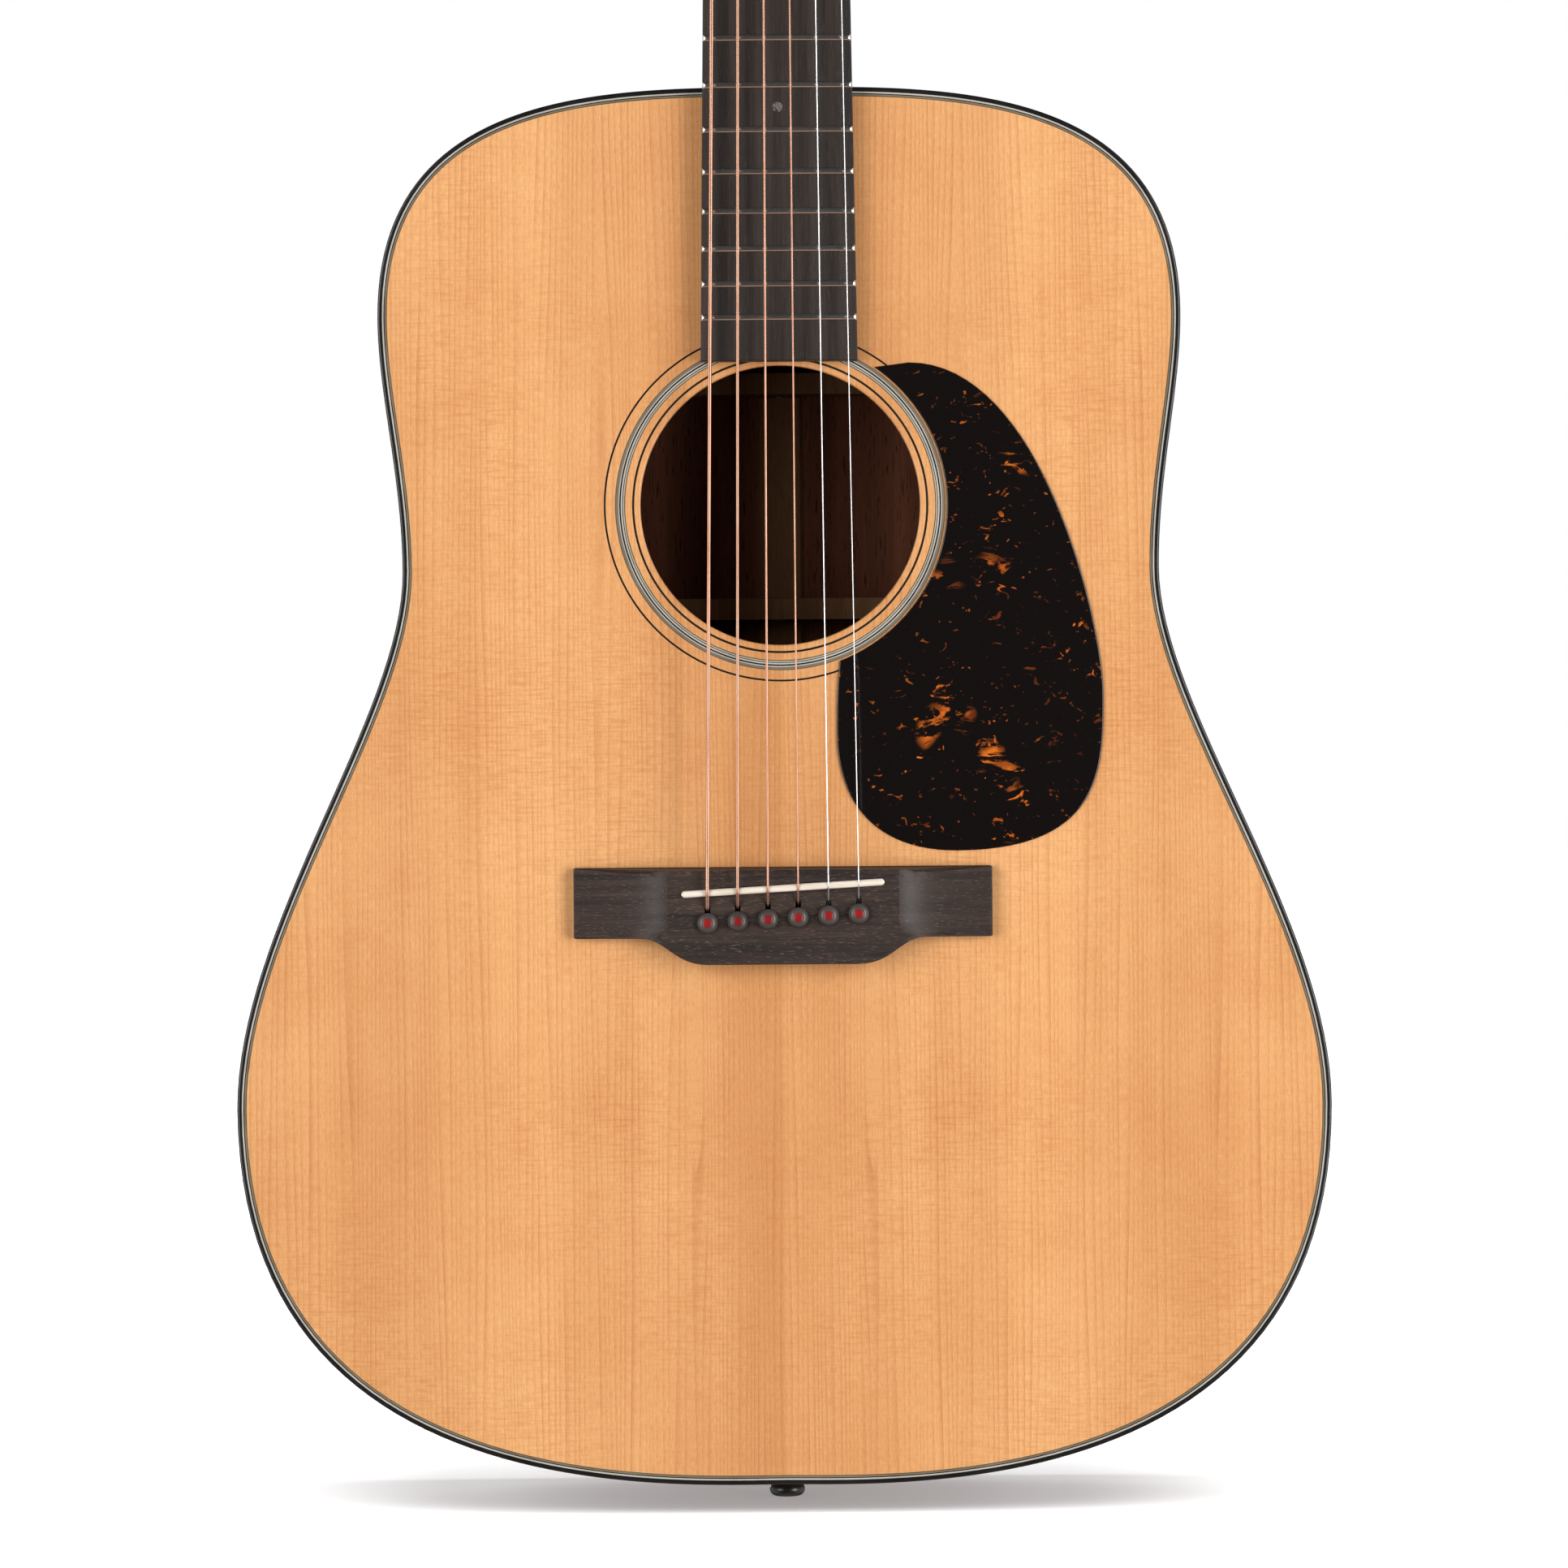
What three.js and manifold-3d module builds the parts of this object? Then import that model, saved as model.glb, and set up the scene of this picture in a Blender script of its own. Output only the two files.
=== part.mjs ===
// A six-string acoustic guitar of the 14-fret dreadnought pattern, standing upright.
// Millimetres, +Z towards the headstock, the front faces -Y, +X is the treble side.
// The row's origin is the centre of the end pin's flat end face.
//
// Inside the file the body has its own frame: y = 0 is the outer face of the soundboard,
// +y goes into the body, and z = 0 is the body's lowest edge. The headstock has a second
// frame, leaned back from the nut, with y = 0 on its front wood face and z up along it.

import * as THREE from 'three';
import { LoftGeometry } from 'three/addons/geometries/LoftGeometry.js';
import { mergeVertices } from 'three/addons/utils/BufferGeometryUtils.js';
import Module from 'manifold-3d';

const wasm = await Module();
wasm.setup();

// ---------------------------------------------------------------- driving dimensions

const BODY_LENGTH = 508;
const LOWER_BOUT = { half: 199, z: 137.5 };
const WAIST = { half: 137.5, z: 332.5 };
const UPPER_BOUT = { half: 146, z: 425 };
const TAIL_DEPTH = 124;
const BACK_RADIUS = 5040;
const FRONT_TO_ORIGIN = 62;
const PIN_STAND_OUT = 11;

const TOP_THICK = 2.8;
const BACK_THICK = 2.8;
const SIDE_THICK = 2.2;
const BINDING_WIDE = 1.9;
const BINDING_TALL = 6;
const LINING_WIDE = 6;
const LINING_TALL = 14;
const GLUE_LINE = 0.1;
const FIT_GAP = 0.3;
const SMALLEST_EDGE = 0.002;
// The linings bend away from the flat blocks by this much at the blocks' corners.
const LINING_BEND = 2.6;
// Half the width of the way that a key needs to reach the truss rod.
const KEY_WAY_HALF = 7;

const SCALE_LENGTH = 645.2;
const FRETS_CLEAR = 14;
const FRET_COUNT = 20;
const NUT_Z = BODY_LENGTH + SCALE_LENGTH * (1 - 2 ** (-FRETS_CLEAR / 12));
const NUT_WIDE = 45;
const NUT_THICK = 5.5;
const NUT_TALL = 9.2;
const BOARD_END_Z = 408;
const BOARD_END_WIDE = 57;
const BOARD_THICK = 6.5;
const FRET_TALL = 1;
const FRET_WIDE = 2.4;
const CAMBER_RADIUS = 406;

const HOLE_Z = 356;
const HOLE_RADIUS = 50.8;
const ROSETTE = { inner: 56, outer: 60, deep: 1 };
const GUARD_THICK = 0.8;

const BRIDGE = { half: 76, top: 224.6, wing: 198.9, belly: 189.3, tall: 9.5 };
const SADDLE = { half: 36.8, thick: 2.5, z: 216.9, slant: 0.0565, tall: 12.3, seat: 4.3 };
const PIN_PITCH = 10.96;
const PIN_Z = 206;
const PIN_HOLE_RADIUS = 3;

const HEAD_LEAN = THREE.MathUtils.degToRad(15);
const HEAD = { length: 158, thick: 14, plate: 2, low: 24, lowHalf: 30.5, highHalf: 36.5 };
const POST_STATIONS = [38, 78, 118];
const POST_FROM_EDGE = 10.5;
const WINDING = { tall: 2.4, radius: 3.7, depths: [20.4, 22, 22] };

const STRINGS = [
  { number: 6, radius: 0.67 },
  { number: 5, radius: 0.54 },
  { number: 4, radius: 0.42 },
  { number: 3, radius: 0.33 },
  { number: 2, radius: 0.22 },
  { number: 1, radius: 0.17 },
];
const NUT_PITCH = 7.8;
const STRING_OVER_FIRST_FRET = 0.5;
const STRING_SIDES = 6;

// ---------------------------------------------------------------- materials

function finish(color, roughness, metalness = 0) {
  return new THREE.MeshStandardMaterial({ color, roughness, metalness });
}

const SPRUCE = finish(0xe6b07a, 0.3);
const INNER_SPRUCE = finish(0xdcb88a, 0.8);
const ROSEWOOD = finish(0x4a2a1c, 0.3);
const MAHOGANY = finish(0x7a4526, 0.45);
const EBONY = finish(0x2c2524, 0.5);
const BLACK_BINDING = finish(0x121212, 0.25);
const ROSETTE_BLACK = finish(0x1a1a18, 0.35);
const TORTOISE = finish(0x2a1510, 0.15);
const BONE = finish(0xe8dccb, 0.4);
const PIN_PLASTIC = finish(0x26262a, 0.3);
const NICKEL = finish(0xcfcfd2, 0.22, 1);
const BRONZE = finish(0xc08a6a, 0.35, 1);
const STEEL = finish(0x8d8f94, 0.4, 1);

// ---------------------------------------------------------------- solids and placing

const guitar = new THREE.Group();
const body = new THREE.Group();
body.position.set(0, -FRONT_TO_ORIGIN, PIN_STAND_OUT);
guitar.add(body);

const head = new THREE.Group();
head.position.set(0, 0, NUT_Z + NUT_THICK);
head.rotation.x = -HEAD_LEAN;
body.add(head);

function add(name, geometry, material, parent = body) {
  const mesh = new THREE.Mesh(geometry, material);
  mesh.name = name;
  parent.add(mesh);
  return mesh;
}

function solid(geometry) {
  const bare = new THREE.BufferGeometry();
  bare.setAttribute('position', geometry.attributes.position);
  bare.setIndex(geometry.index);
  const { attributes, index } = geometry.userData.closed ? bare : mergeVertices(bare, 1e-4);
  const vertProperties = attributes.position.array;
  const triVerts = new Uint32Array(index.array);
  return new wasm.Manifold(new wasm.Mesh({ numProp: 3, vertProperties, triVerts }));
}

function geometryOf(manifold) {
  const mesh = manifold.simplify(SMALLEST_EDGE).getMesh();
  const geometry = new THREE.BufferGeometry();
  geometry.setAttribute('position', new THREE.BufferAttribute(mesh.vertProperties, 3));
  geometry.setIndex(new THREE.BufferAttribute(mesh.triVerts, 1));
  geometry.userData.closed = true;
  return geometry;
}

function joined(...geometries) {
  return geometryOf(geometries.map(solid).reduce((sum, part) => sum.add(part)));
}

function cut(geometry, ...cutters) {
  return geometryOf(cutters.map(solid).reduce((rest, part) => rest.subtract(part), solid(geometry)));
}

function common(geometry, other) {
  return geometryOf(solid(geometry).intersect(solid(other)));
}

// A shape drawn in x and z, made solid between two depths.
function slab(shape, yFront, yBack, curveSegments = 12) {
  const depth = yBack - yFront;
  const geometry = new THREE.ExtrudeGeometry(shape, { depth, bevelEnabled: false, curveSegments });
  return geometry.rotateX(Math.PI / 2).translate(0, yBack, 0);
}

// A shape drawn in x and y, made solid between two heights.
function column(shape, zLow, zHigh) {
  const settings = { depth: zHigh - zLow, bevelEnabled: false, curveSegments: 8 };
  return new THREE.ExtrudeGeometry(shape, settings).translate(0, 0, zLow);
}

function box([xLow, xHigh], [yLow, yHigh], [zLow, zHigh]) {
  const geometry = new THREE.BoxGeometry(xHigh - xLow, yHigh - yLow, zHigh - zLow);
  return geometry.translate((xLow + xHigh) / 2, (yLow + yHigh) / 2, (zLow + zHigh) / 2);
}

// A turned piece: its profile is a list of [radius, distance along +y].
function turned(profile, sides = 12) {
  const points = profile.map(([radius, along]) => new THREE.Vector2(radius, along));
  return new THREE.LatheGeometry(points, sides);
}

// A skin over sections of equally many points, closed at both ends.
function loft(sections) {
  return new LoftGeometry(sections, { capStart: true, capEnd: true });
}

function polygon(points) {
  return new THREE.Shape(points.map(([a, b]) => new THREE.Vector2(a, b)));
}

// ---------------------------------------------------------------- body outline

function bezier(...numbers) {
  const points = [];
  for (let i = 0; i < 8; i += 2) {
    points.push(new THREE.Vector2(numbers[i], numbers[i + 1]));
  }
  return new THREE.CubicBezierCurve(...points);
}

// The right half of the outline, from the tail to the neck, with the number of steps on each.
const OUTLINE_CURVES = [
  [bezier(0, 0, 40.5, 0, LOWER_BOUT.half, -9, LOWER_BOUT.half, LOWER_BOUT.z), 9],
  [bezier(LOWER_BOUT.half, LOWER_BOUT.z, LOWER_BOUT.half, 204, WAIST.half, 281, WAIST.half, WAIST.z), 6],
  [bezier(WAIST.half, WAIST.z, WAIST.half, 367.5, UPPER_BOUT.half, 397, UPPER_BOUT.half, UPPER_BOUT.z), 4],
  [bezier(UPPER_BOUT.half, UPPER_BOUT.z, UPPER_BOUT.half, 510, 60, BODY_LENGTH, 0, BODY_LENGTH), 9],
];

// The closed outline moved inwards by inset, as points counter-clockwise in x and z.
function outline(inset) {
  const right = [];
  for (const [curve, steps] of OUTLINE_CURVES) {
    for (let i = 0; i < steps; i++) {
      const point = curve.getPoint(i / steps);
      const tangent = curve.getTangent(i / steps);
      right.push(new THREE.Vector2(point.x - tangent.y * inset, point.y + tangent.x * inset));
    }
  }
  const neckEnd = new THREE.Vector2(0, BODY_LENGTH - inset);
  const left = right.slice(1).reverse().map((point) => new THREE.Vector2(-point.x, point.y));
  return [...right, neckEnd, ...left];
}

function outlineShape(inset) {
  return new THREE.Shape(outline(inset));
}

// A band of the outline between two insets.
function outlineBand(outerInset, innerInset) {
  const shape = outlineShape(outerInset);
  shape.holes.push(new THREE.Path(outline(innerInset)));
  return shape;
}

// Half the body's inside width at a height, between the linings.
function clearHalfWidth(z) {
  const inner = outline(SIDE_THICK + LINING_WIDE + 1);
  let half = 0;
  for (let i = 0; i < inner.length / 2; i++) {
    const [low, high] = [inner[i], inner[i + 1]];
    if (low.y <= z && z < high.y) {
      half = low.x + ((high.x - low.x) * (z - low.y)) / (high.y - low.y);
    }
  }
  return half;
}

// The back is a shallow dome, deepest at the tail: the depth of its outer face.
function backDepth(x, z) {
  return TAIL_DEPTH - (x * x + z * z) / (2 * BACK_RADIUS);
}

// Moves the vertices of a piece that lie on its rear face to the dome, less a clearance.
function fitToBack(geometry, rearY, clearance) {
  const position = geometry.attributes.position;
  for (let i = 0; i < position.count; i++) {
    if (Math.abs(position.getY(i) - rearY) < 1e-3) {
      position.setY(i, backDepth(position.getX(i), position.getZ(i)) - clearance);
    }
  }
  return geometry;
}

// ---------------------------------------------------------------- the box: plates and sides

const REAR = 200;
const NECK_GAP_HALF = 12;
const ROD = { half: 3.2, front: 4.3, back: 10.7 };

function ring(inner, outer, yFront, yBack, steps) {
  const shape = new THREE.Shape().absarc(0, HOLE_Z, outer, 0, 2 * Math.PI);
  shape.holes.push(new THREE.Path().absarc(0, HOLE_Z, inner, 0, 2 * Math.PI));
  return slab(shape, yFront, yBack, steps);
}

function pinHoles(yFront, yBack) {
  const stringSlot = { half: 1, reach: 5.9 };
  const cutters = [];
  for (let i = 0; i < STRINGS.length; i++) {
    const [x, z] = pinPlace(i);
    const hole = turned([[0, yFront], [PIN_HOLE_RADIUS, yFront], [PIN_HOLE_RADIUS, yBack], [0, yBack]], 8);
    cutters.push(hole.translate(x, 0, z));
    cutters.push(box([x - stringSlot.half, x + stringSlot.half], [yFront, yBack], [z, z + stringSlot.reach]));
  }
  return cutters;
}

function pinPlace(index) {
  const x = (index - (STRINGS.length - 1) / 2) * PIN_PITCH;
  return [x, PIN_Z + SADDLE.slant * x];
}

function makePlates() {
  const inset = BINDING_WIDE + GLUE_LINE;
  const topShape = outlineShape(inset);
  topShape.holes.push(new THREE.Path().absarc(0, HOLE_Z, HOLE_RADIUS, 0, 2 * Math.PI));
  const groove = ring(ROSETTE.inner - GLUE_LINE, ROSETTE.outer + GLUE_LINE, -1, ROSETTE.deep + GLUE_LINE, 16);
  add('soundboard', cut(slab(topShape, 0, TOP_THICK, 16), groove, ...pinHoles(-1, 5)), SPRUCE);
  add('rosette', ring(ROSETTE.inner, ROSETTE.outer, 0, ROSETTE.deep, 16), ROSETTE_BLACK);

  const dome = new THREE.BoxGeometry(420, 20, 540, 6, 1, 8).translate(0, 0, 250);
  const position = dome.attributes.position;
  for (let i = 0; i < position.count; i++) {
    const layer = position.getY(i) > 0 ? 0 : BACK_THICK;
    position.setY(i, backDepth(position.getX(i), position.getZ(i)) - layer);
  }
  add('back', common(dome, slab(outlineShape(inset), 50, REAR)), ROSEWOOD);
}

function makeSides() {
  const edge = BINDING_TALL + FIT_GAP;
  const wall = fitToBack(slab(outlineBand(0, SIDE_THICK), edge, REAR), REAR, edge);
  const neckGap = box([-NECK_GAP_HALF, NECK_GAP_HALF], [0, REAR], [BODY_LENGTH - 20, BODY_LENGTH + 20]);
  const pinHole = endPinHole();
  const open = solid(wall).subtract(solid(neckGap)).subtract(solid(pinHole));
  const halves = { side_bass: [-250, 0], side_treble: [0, 250] };
  for (const [name, reach] of Object.entries(halves)) {
    const half = open.intersect(solid(box(reach, [0, REAR], [-50, BODY_LENGTH + 50])));
    add(name, geometryOf(half), ROSEWOOD);
  }
}

function makeBindings() {
  const top = slab(outlineBand(0, BINDING_WIDE), 0, BINDING_TALL);
  const keyWay = [-KEY_WAY_HALF, KEY_WAY_HALF];
  const rodPass = box(keyWay, [-1, BINDING_TALL + 1], [BODY_LENGTH - 9, BODY_LENGTH + 9]);
  add('top_binding', cut(top, rodPass), BLACK_BINDING);
  const rear = fitToBack(slab(outlineBand(0, BINDING_WIDE), 0, REAR), REAR, 0);
  add('back_binding', fitToBack(rear, 0, BINDING_TALL), BLACK_BINDING);
}

function makeLinings() {
  const band = outlineBand(SIDE_THICK + GLUE_LINE, SIDE_THICK + LINING_WIDE);
  const top = slab(band, TOP_THICK, TOP_THICK + LINING_TALL);
  const rodPass = box([-KEY_WAY_HALF, KEY_WAY_HALF], [0, 30], [BODY_LENGTH - 20, BODY_LENGTH + 9]);
  add('top_lining', cut(top, rodPass), MAHOGANY);
  const clearance = BACK_THICK + FIT_GAP;
  const rear = fitToBack(slab(band, 0, REAR), REAR, clearance);
  add('back_lining', fitToBack(rear, 0, clearance + LINING_TALL), MAHOGANY);
}

// ---------------------------------------------------------------- blocks and braces

const NECK_BLOCK = { half: 38, low: 455, high: 505 };
const END_BLOCK = { half: 45, low: 4.5, high: 30 };
const TENON = { half: 11, front: 18, back: 76, deep: 16 };
const END_PIN = { holeRadius: 6.5, y: 60 };

function endPinHole() {
  const r = END_PIN.holeRadius;
  const hole = turned([[0, -20], [r, -20], [r, 40], [0, 40]], 12);
  return hole.rotateX(Math.PI / 2).translate(0, END_PIN.y, 0);
}

// A block that fills the body from plate to plate, rebated over both linings.
function rebatedBlock({ half, low, high }, liningLow, liningHigh) {
  const clearance = BACK_THICK + FIT_GAP;
  const block = fitToBack(box([-half, half], [TOP_THICK, REAR], [low, high]), REAR, clearance);
  const liningBack = TOP_THICK + LINING_TALL + FIT_GAP;
  const frontRebate = box([-half - 1, half + 1], [0, liningBack], [liningLow, liningHigh]);
  const deepest = backDepth(half, high) - clearance - LINING_TALL - FIT_GAP;
  const rearRebate = box([-half - 1, half + 1], [deepest, REAR], [liningLow, liningHigh]);
  return cut(block, frontRebate, rearRebate);
}

function makeBlocks() {
  const liningDepth = SIDE_THICK + LINING_WIDE + FIT_GAP;
  const neckLining = BODY_LENGTH - liningDepth - LINING_BEND;
  const neckBlock = rebatedBlock(NECK_BLOCK, neckLining, BODY_LENGTH);
  const mortise = box(
    [-TENON.half - FIT_GAP, TENON.half + FIT_GAP],
    [TENON.front - FIT_GAP, TENON.back + FIT_GAP],
    [BODY_LENGTH - TENON.deep - FIT_GAP, BODY_LENGTH],
  );
  const rodChannel = box(
    [-ROD.half - FIT_GAP, ROD.half + FIT_GAP],
    [0, ROD.back + FIT_GAP],
    [NECK_BLOCK.low - 1, BODY_LENGTH],
  );
  add('neck_block', cut(neckBlock, mortise, rodChannel), MAHOGANY);
  const endBlock = rebatedBlock(END_BLOCK, 0, liningDepth + LINING_BEND);
  add('end_block', cut(endBlock, endPinHole()), MAHOGANY);
}

// A bar lying on the inside of the soundboard, from one [x, z] to another, low at its ends.
function topBar([x1, z1], [x2, z2], wide, tall, endTall = 4) {
  const length = Math.hypot(x2 - x1, z2 - z1);
  const taper = length * 0.22;
  const profile = polygon([
    [0, 0], [length, 0], [length, endTall], [length - taper, tall], [taper, tall], [0, endTall],
  ]);
  const settings = { depth: wide, bevelEnabled: false };
  const bar = new THREE.ExtrudeGeometry(profile, settings).translate(0, 0, -wide / 2);
  bar.rotateY(-Math.atan2(z2 - z1, x2 - x1));
  return bar.translate(x1, TOP_THICK, z1);
}

function makeTopBraces() {
  const legToTreble = topBar([-112, 402.4], [163, 77.4], 8, 15);
  const legToBass = topBar([112, 402.4], [-163, 77.4], 8, 15);
  add('x_brace', joined(legToTreble, legToBass), INNER_SPRUCE);

  const upperHalf = clearHalfWidth(432) - 1;
  const upper = topBar([-upperHalf, 432], [upperHalf, 432], 12, 14);
  const keyHole = box([-KEY_WAY_HALF, KEY_WAY_HALF], [TOP_THICK - 1, TOP_THICK + 10], [420, 444]);
  add('upper_brace', cut(upper, keyHole), INNER_SPRUCE);

  add('tone_bar_1', topBar([60, 172], [-88, 118], 7, 12), INNER_SPRUCE);
  add('tone_bar_2', topBar([90, 127], [-72, 62], 7, 12), INNER_SPRUCE);

  const plate = polygon([[-56, 192], [56, 192], [32, 226], [-32, 226]]);
  const plateBack = TOP_THICK + 3;
  add('bridge_plate', cut(slab(plate, TOP_THICK, plateBack), ...pinHoles(0, 8)), MAHOGANY);
}

const BACK_BRACES = [
  { z: 95, wide: 18, tall: 9 },
  { z: 205, wide: 18, tall: 9 },
  { z: 321, wide: 8, tall: 15 },
  { z: 406, wide: 8, tall: 15 },
];

function makeBackBraces() {
  BACK_BRACES.forEach(({ z, wide, tall }, index) => {
    const half = clearHalfWidth(z) - 3;
    const shoulder = half * 0.78;
    const rim = z + wide / 2;
    const front = backDepth(0, rim) - BACK_THICK - FIT_GAP - tall;
    const frontAtEnd = backDepth(half, rim) - 8;
    const steps = 8;
    const points = [[-half, frontAtEnd], [-shoulder, front], [shoulder, front], [half, frontAtEnd]];
    for (let i = 0; i <= steps; i++) {
      const x = half - (2 * half * i) / steps;
      points.push([x, backDepth(x, rim) - BACK_THICK - FIT_GAP]);
    }
    const brace = column(polygon(points), z - wide / 2, z + wide / 2);
    add(`back_brace_${index + 1}`, brace, INNER_SPRUCE);
  });
}

function makeEndPin() {
  const profile = [
    [0, 0], [4.6, 0], [6.4, 1.6], [6.6, 3.4], [4.6, 6.2], [4.4, 8], [6.8, 9.5], [6.8, 10.5],
    [5.9, 10.8], [5, 33], [0, 33],
  ];
  const pin = turned(profile, 14).rotateX(Math.PI / 2);
  add('end_pin', pin.translate(0, END_PIN.y, -PIN_STAND_OUT), PIN_PLASTIC);
}

// ---------------------------------------------------------------- pickguard

function makePickguard() {
  const arc = { radius: 60.6, start: -1.213, end: 0.966 };
  const onArc = (angle) => [Math.cos(angle) * arc.radius, HOLE_Z + Math.sin(angle) * arc.radius];
  const [lowX, lowZ] = onArc(arc.start);
  const [highX, highZ] = onArc(arc.end);
  const guard = new THREE.Shape().moveTo(highX, highZ);
  const z = (fromHole) => HOLE_Z + fromHole;
  guard.absarc(0, HOLE_Z, arc.radius, arc.end, arc.start, true);
  guard.bezierCurveTo(lowX - 0.6, lowZ - 6, 20, z(-68), 20, z(-83.5));
  guard.bezierCurveTo(20, z(-108.5), 34, z(-126), 63.5, z(-126));
  guard.bezierCurveTo(117, z(-126), 117, z(-96), 117, z(-69));
  guard.bezierCurveTo(117, z(-44), 95.5, z(51.5), 47, z(51.5));
  guard.lineTo(highX, highZ);
  add('pickguard', slab(guard, -GUARD_THICK, 0, 10), TORTOISE);
}

// ---------------------------------------------------------------- bridge, saddle, pins

function bridgeOutline() {
  const { half, top, wing, belly } = BRIDGE;
  const corner = 3;
  const shape = new THREE.Shape().moveTo(-half + corner, top);
  shape.quadraticCurveTo(-half, top, -half, top - corner);
  shape.lineTo(-half, wing + corner);
  shape.quadraticCurveTo(-half, wing, -half + corner, wing);
  shape.lineTo(-52, wing);
  shape.bezierCurveTo(-42, wing, -40, belly, -27, belly);
  shape.lineTo(27, belly);
  shape.bezierCurveTo(40, belly, 42, wing, 52, wing);
  shape.lineTo(half - corner, wing);
  shape.quadraticCurveTo(half, wing, half, wing + corner);
  shape.lineTo(half, top - corner);
  shape.quadraticCurveTo(half, top, half - corner, top);
  return shape;
}

// Seen from the tail: full height in the middle, scooped down to thin wings.
function bridgeProfile() {
  const { half, tall } = BRIDGE;
  const right = [[42, -tall], [44, -8], [47, -6], [51, -4.8], [57, -4.2], [half + 1, -3.6], [half + 1, 0]];
  const left = right.map(([x, y]) => [-x, y]).reverse();
  return polygon([...left, ...right]);
}

function makeBridge() {
  const block = common(slab(bridgeOutline(), -20, 0, 5), column(bridgeProfile(), 150, 260));
  const slotHalf = SADDLE.half + FIT_GAP;
  const slotThick = SADDLE.thick / 2 + FIT_GAP;
  const slot = box([-slotHalf, slotHalf], [-20, -SADDLE.seat + FIT_GAP], [-slotThick, slotThick]);
  slot.rotateY(-SADDLE.slant).translate(0, 0, SADDLE.z);
  add('bridge', cut(block, slot, ...pinHoles(-20, 1)), EBONY);
}

function camber(x) {
  return (x * x) / (2 * CAMBER_RADIUS);
}

function makeSaddle() {
  const points = [[-SADDLE.half, -SADDLE.seat], [SADDLE.half, -SADDLE.seat]];
  const steps = 8;
  for (let i = 0; i <= steps; i++) {
    const x = SADDLE.half * (1 - (2 * i) / steps);
    const shoulder = i === 0 || i === steps ? 1.2 : 0;
    points.push([x, -SADDLE.tall + camber(x) + shoulder]);
  }
  const plan = polygon(points.reverse());
  const saddle = column(plan, -SADDLE.thick / 2, SADDLE.thick / 2);
  const mesh = add('saddle', saddle, BONE);
  mesh.position.z = SADDLE.z;
  mesh.rotation.y = -SADDLE.slant;
}

function makeBridgePins() {
  const top = -BRIDGE.tall;
  const profile = [
    [0, top - 3.1], [1.6, top - 3], [3, top - 2.2], [3.7, top - 1], [3.6, top - 0.1], [2.6, top],
    [2.1, top + 24], [1.2, top + 25], [0, top + 25],
  ];
  STRINGS.forEach(({ number }, index) => {
    const [x, z] = pinPlace(index);
    add(`bridge_pin_${number}`, turned(profile, 10).translate(x, 0, z), PIN_PLASTIC);
  });
}

// ---------------------------------------------------------------- neck and headstock

const SHAFT = { nutDeep: 14.5, bodyDeep: 17 };
const HEEL_TOP_Z = BODY_LENGTH + 66;

function boardHalf(z) {
  const along = (NUT_Z - z) / (NUT_Z - BOARD_END_Z);
  return (NUT_WIDE + (BOARD_END_WIDE - NUT_WIDE) * along) / 2;
}

// Half of a superellipse hung from a straight front edge, in the plane of two directions.
function neckSection(centre, backwards, half, deep, squareness) {
  const points = [];
  const steps = 12;
  for (let i = 0; i <= steps; i++) {
    const angle = (Math.PI * i) / steps;
    const x = Math.sign(Math.cos(angle)) * Math.abs(Math.cos(angle)) ** (2 / squareness) * half;
    const y = Math.sin(angle) ** (2 / squareness) * deep;
    points.push(new THREE.Vector3(x, 0, 0).addScaledVector(backwards, y).add(centre));
  }
  return points;
}

function headPoint(x, y, z) {
  return new THREE.Vector3(x, y, z).applyAxisAngle(new THREE.Vector3(1, 0, 0), -HEAD_LEAN).add(head.position);
}

function neckShaft() {
  const straight = new THREE.Vector3(0, 1, 0);
  const sections = [BODY_LENGTH + GLUE_LINE, HEEL_TOP_Z, (HEEL_TOP_Z + NUT_Z) / 2, NUT_Z].map((z) => {
    const along = (NUT_Z - z) / (NUT_Z - BODY_LENGTH);
    const deep = SHAFT.nutDeep + (SHAFT.bodyDeep - SHAFT.nutDeep) * along;
    return neckSection(new THREE.Vector3(0, 0, z), straight, boardHalf(z), deep, 2.2);
  });
  const leaned = headPoint(0, 1, 0).sub(headPoint(0, 0, 0));
  const flare = [[2, 22.6, 2.4], [8, 23.8, 3], [14, 26.3, 4], [19, 28.7, 6], [HEAD.low, HEAD.lowHalf, 14]];
  for (const [along, half, squareness] of flare) {
    sections.push(neckSection(headPoint(0, 0, along), leaned, half, HEAD.thick, squareness));
  }
  return loft(sections);
}

// The heel, from the shaft down to its cap at the back of the body: U-shaped slices.
function neckHeel() {
  const cap = backDepth(0, BODY_LENGTH);
  const slices = [
    [8, 27.6, 62], [16, 26.4, 56], [24, 23.6, 42], [36, 20.6, 31],
    [52, 18, 24], [70, 16, 19.5], [cap, 15, 16],
  ];
  const sections = slices.map(([y, half, reach]) => {
    const points = [];
    const steps = 10;
    for (let i = 0; i <= steps; i++) {
      const angle = (Math.PI * i) / steps;
      const nose = Math.sin(angle) ** 0.9;
      points.push(new THREE.Vector3(-Math.cos(angle) * half, y, BODY_LENGTH + GLUE_LINE + nose * reach));
    }
    return points;
  });
  return loft(sections);
}

function headHalf(along) {
  return HEAD.lowHalf + ((HEAD.highHalf - HEAD.lowHalf) * (along - HEAD.low)) / (HEAD.length - HEAD.low);
}

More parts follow.
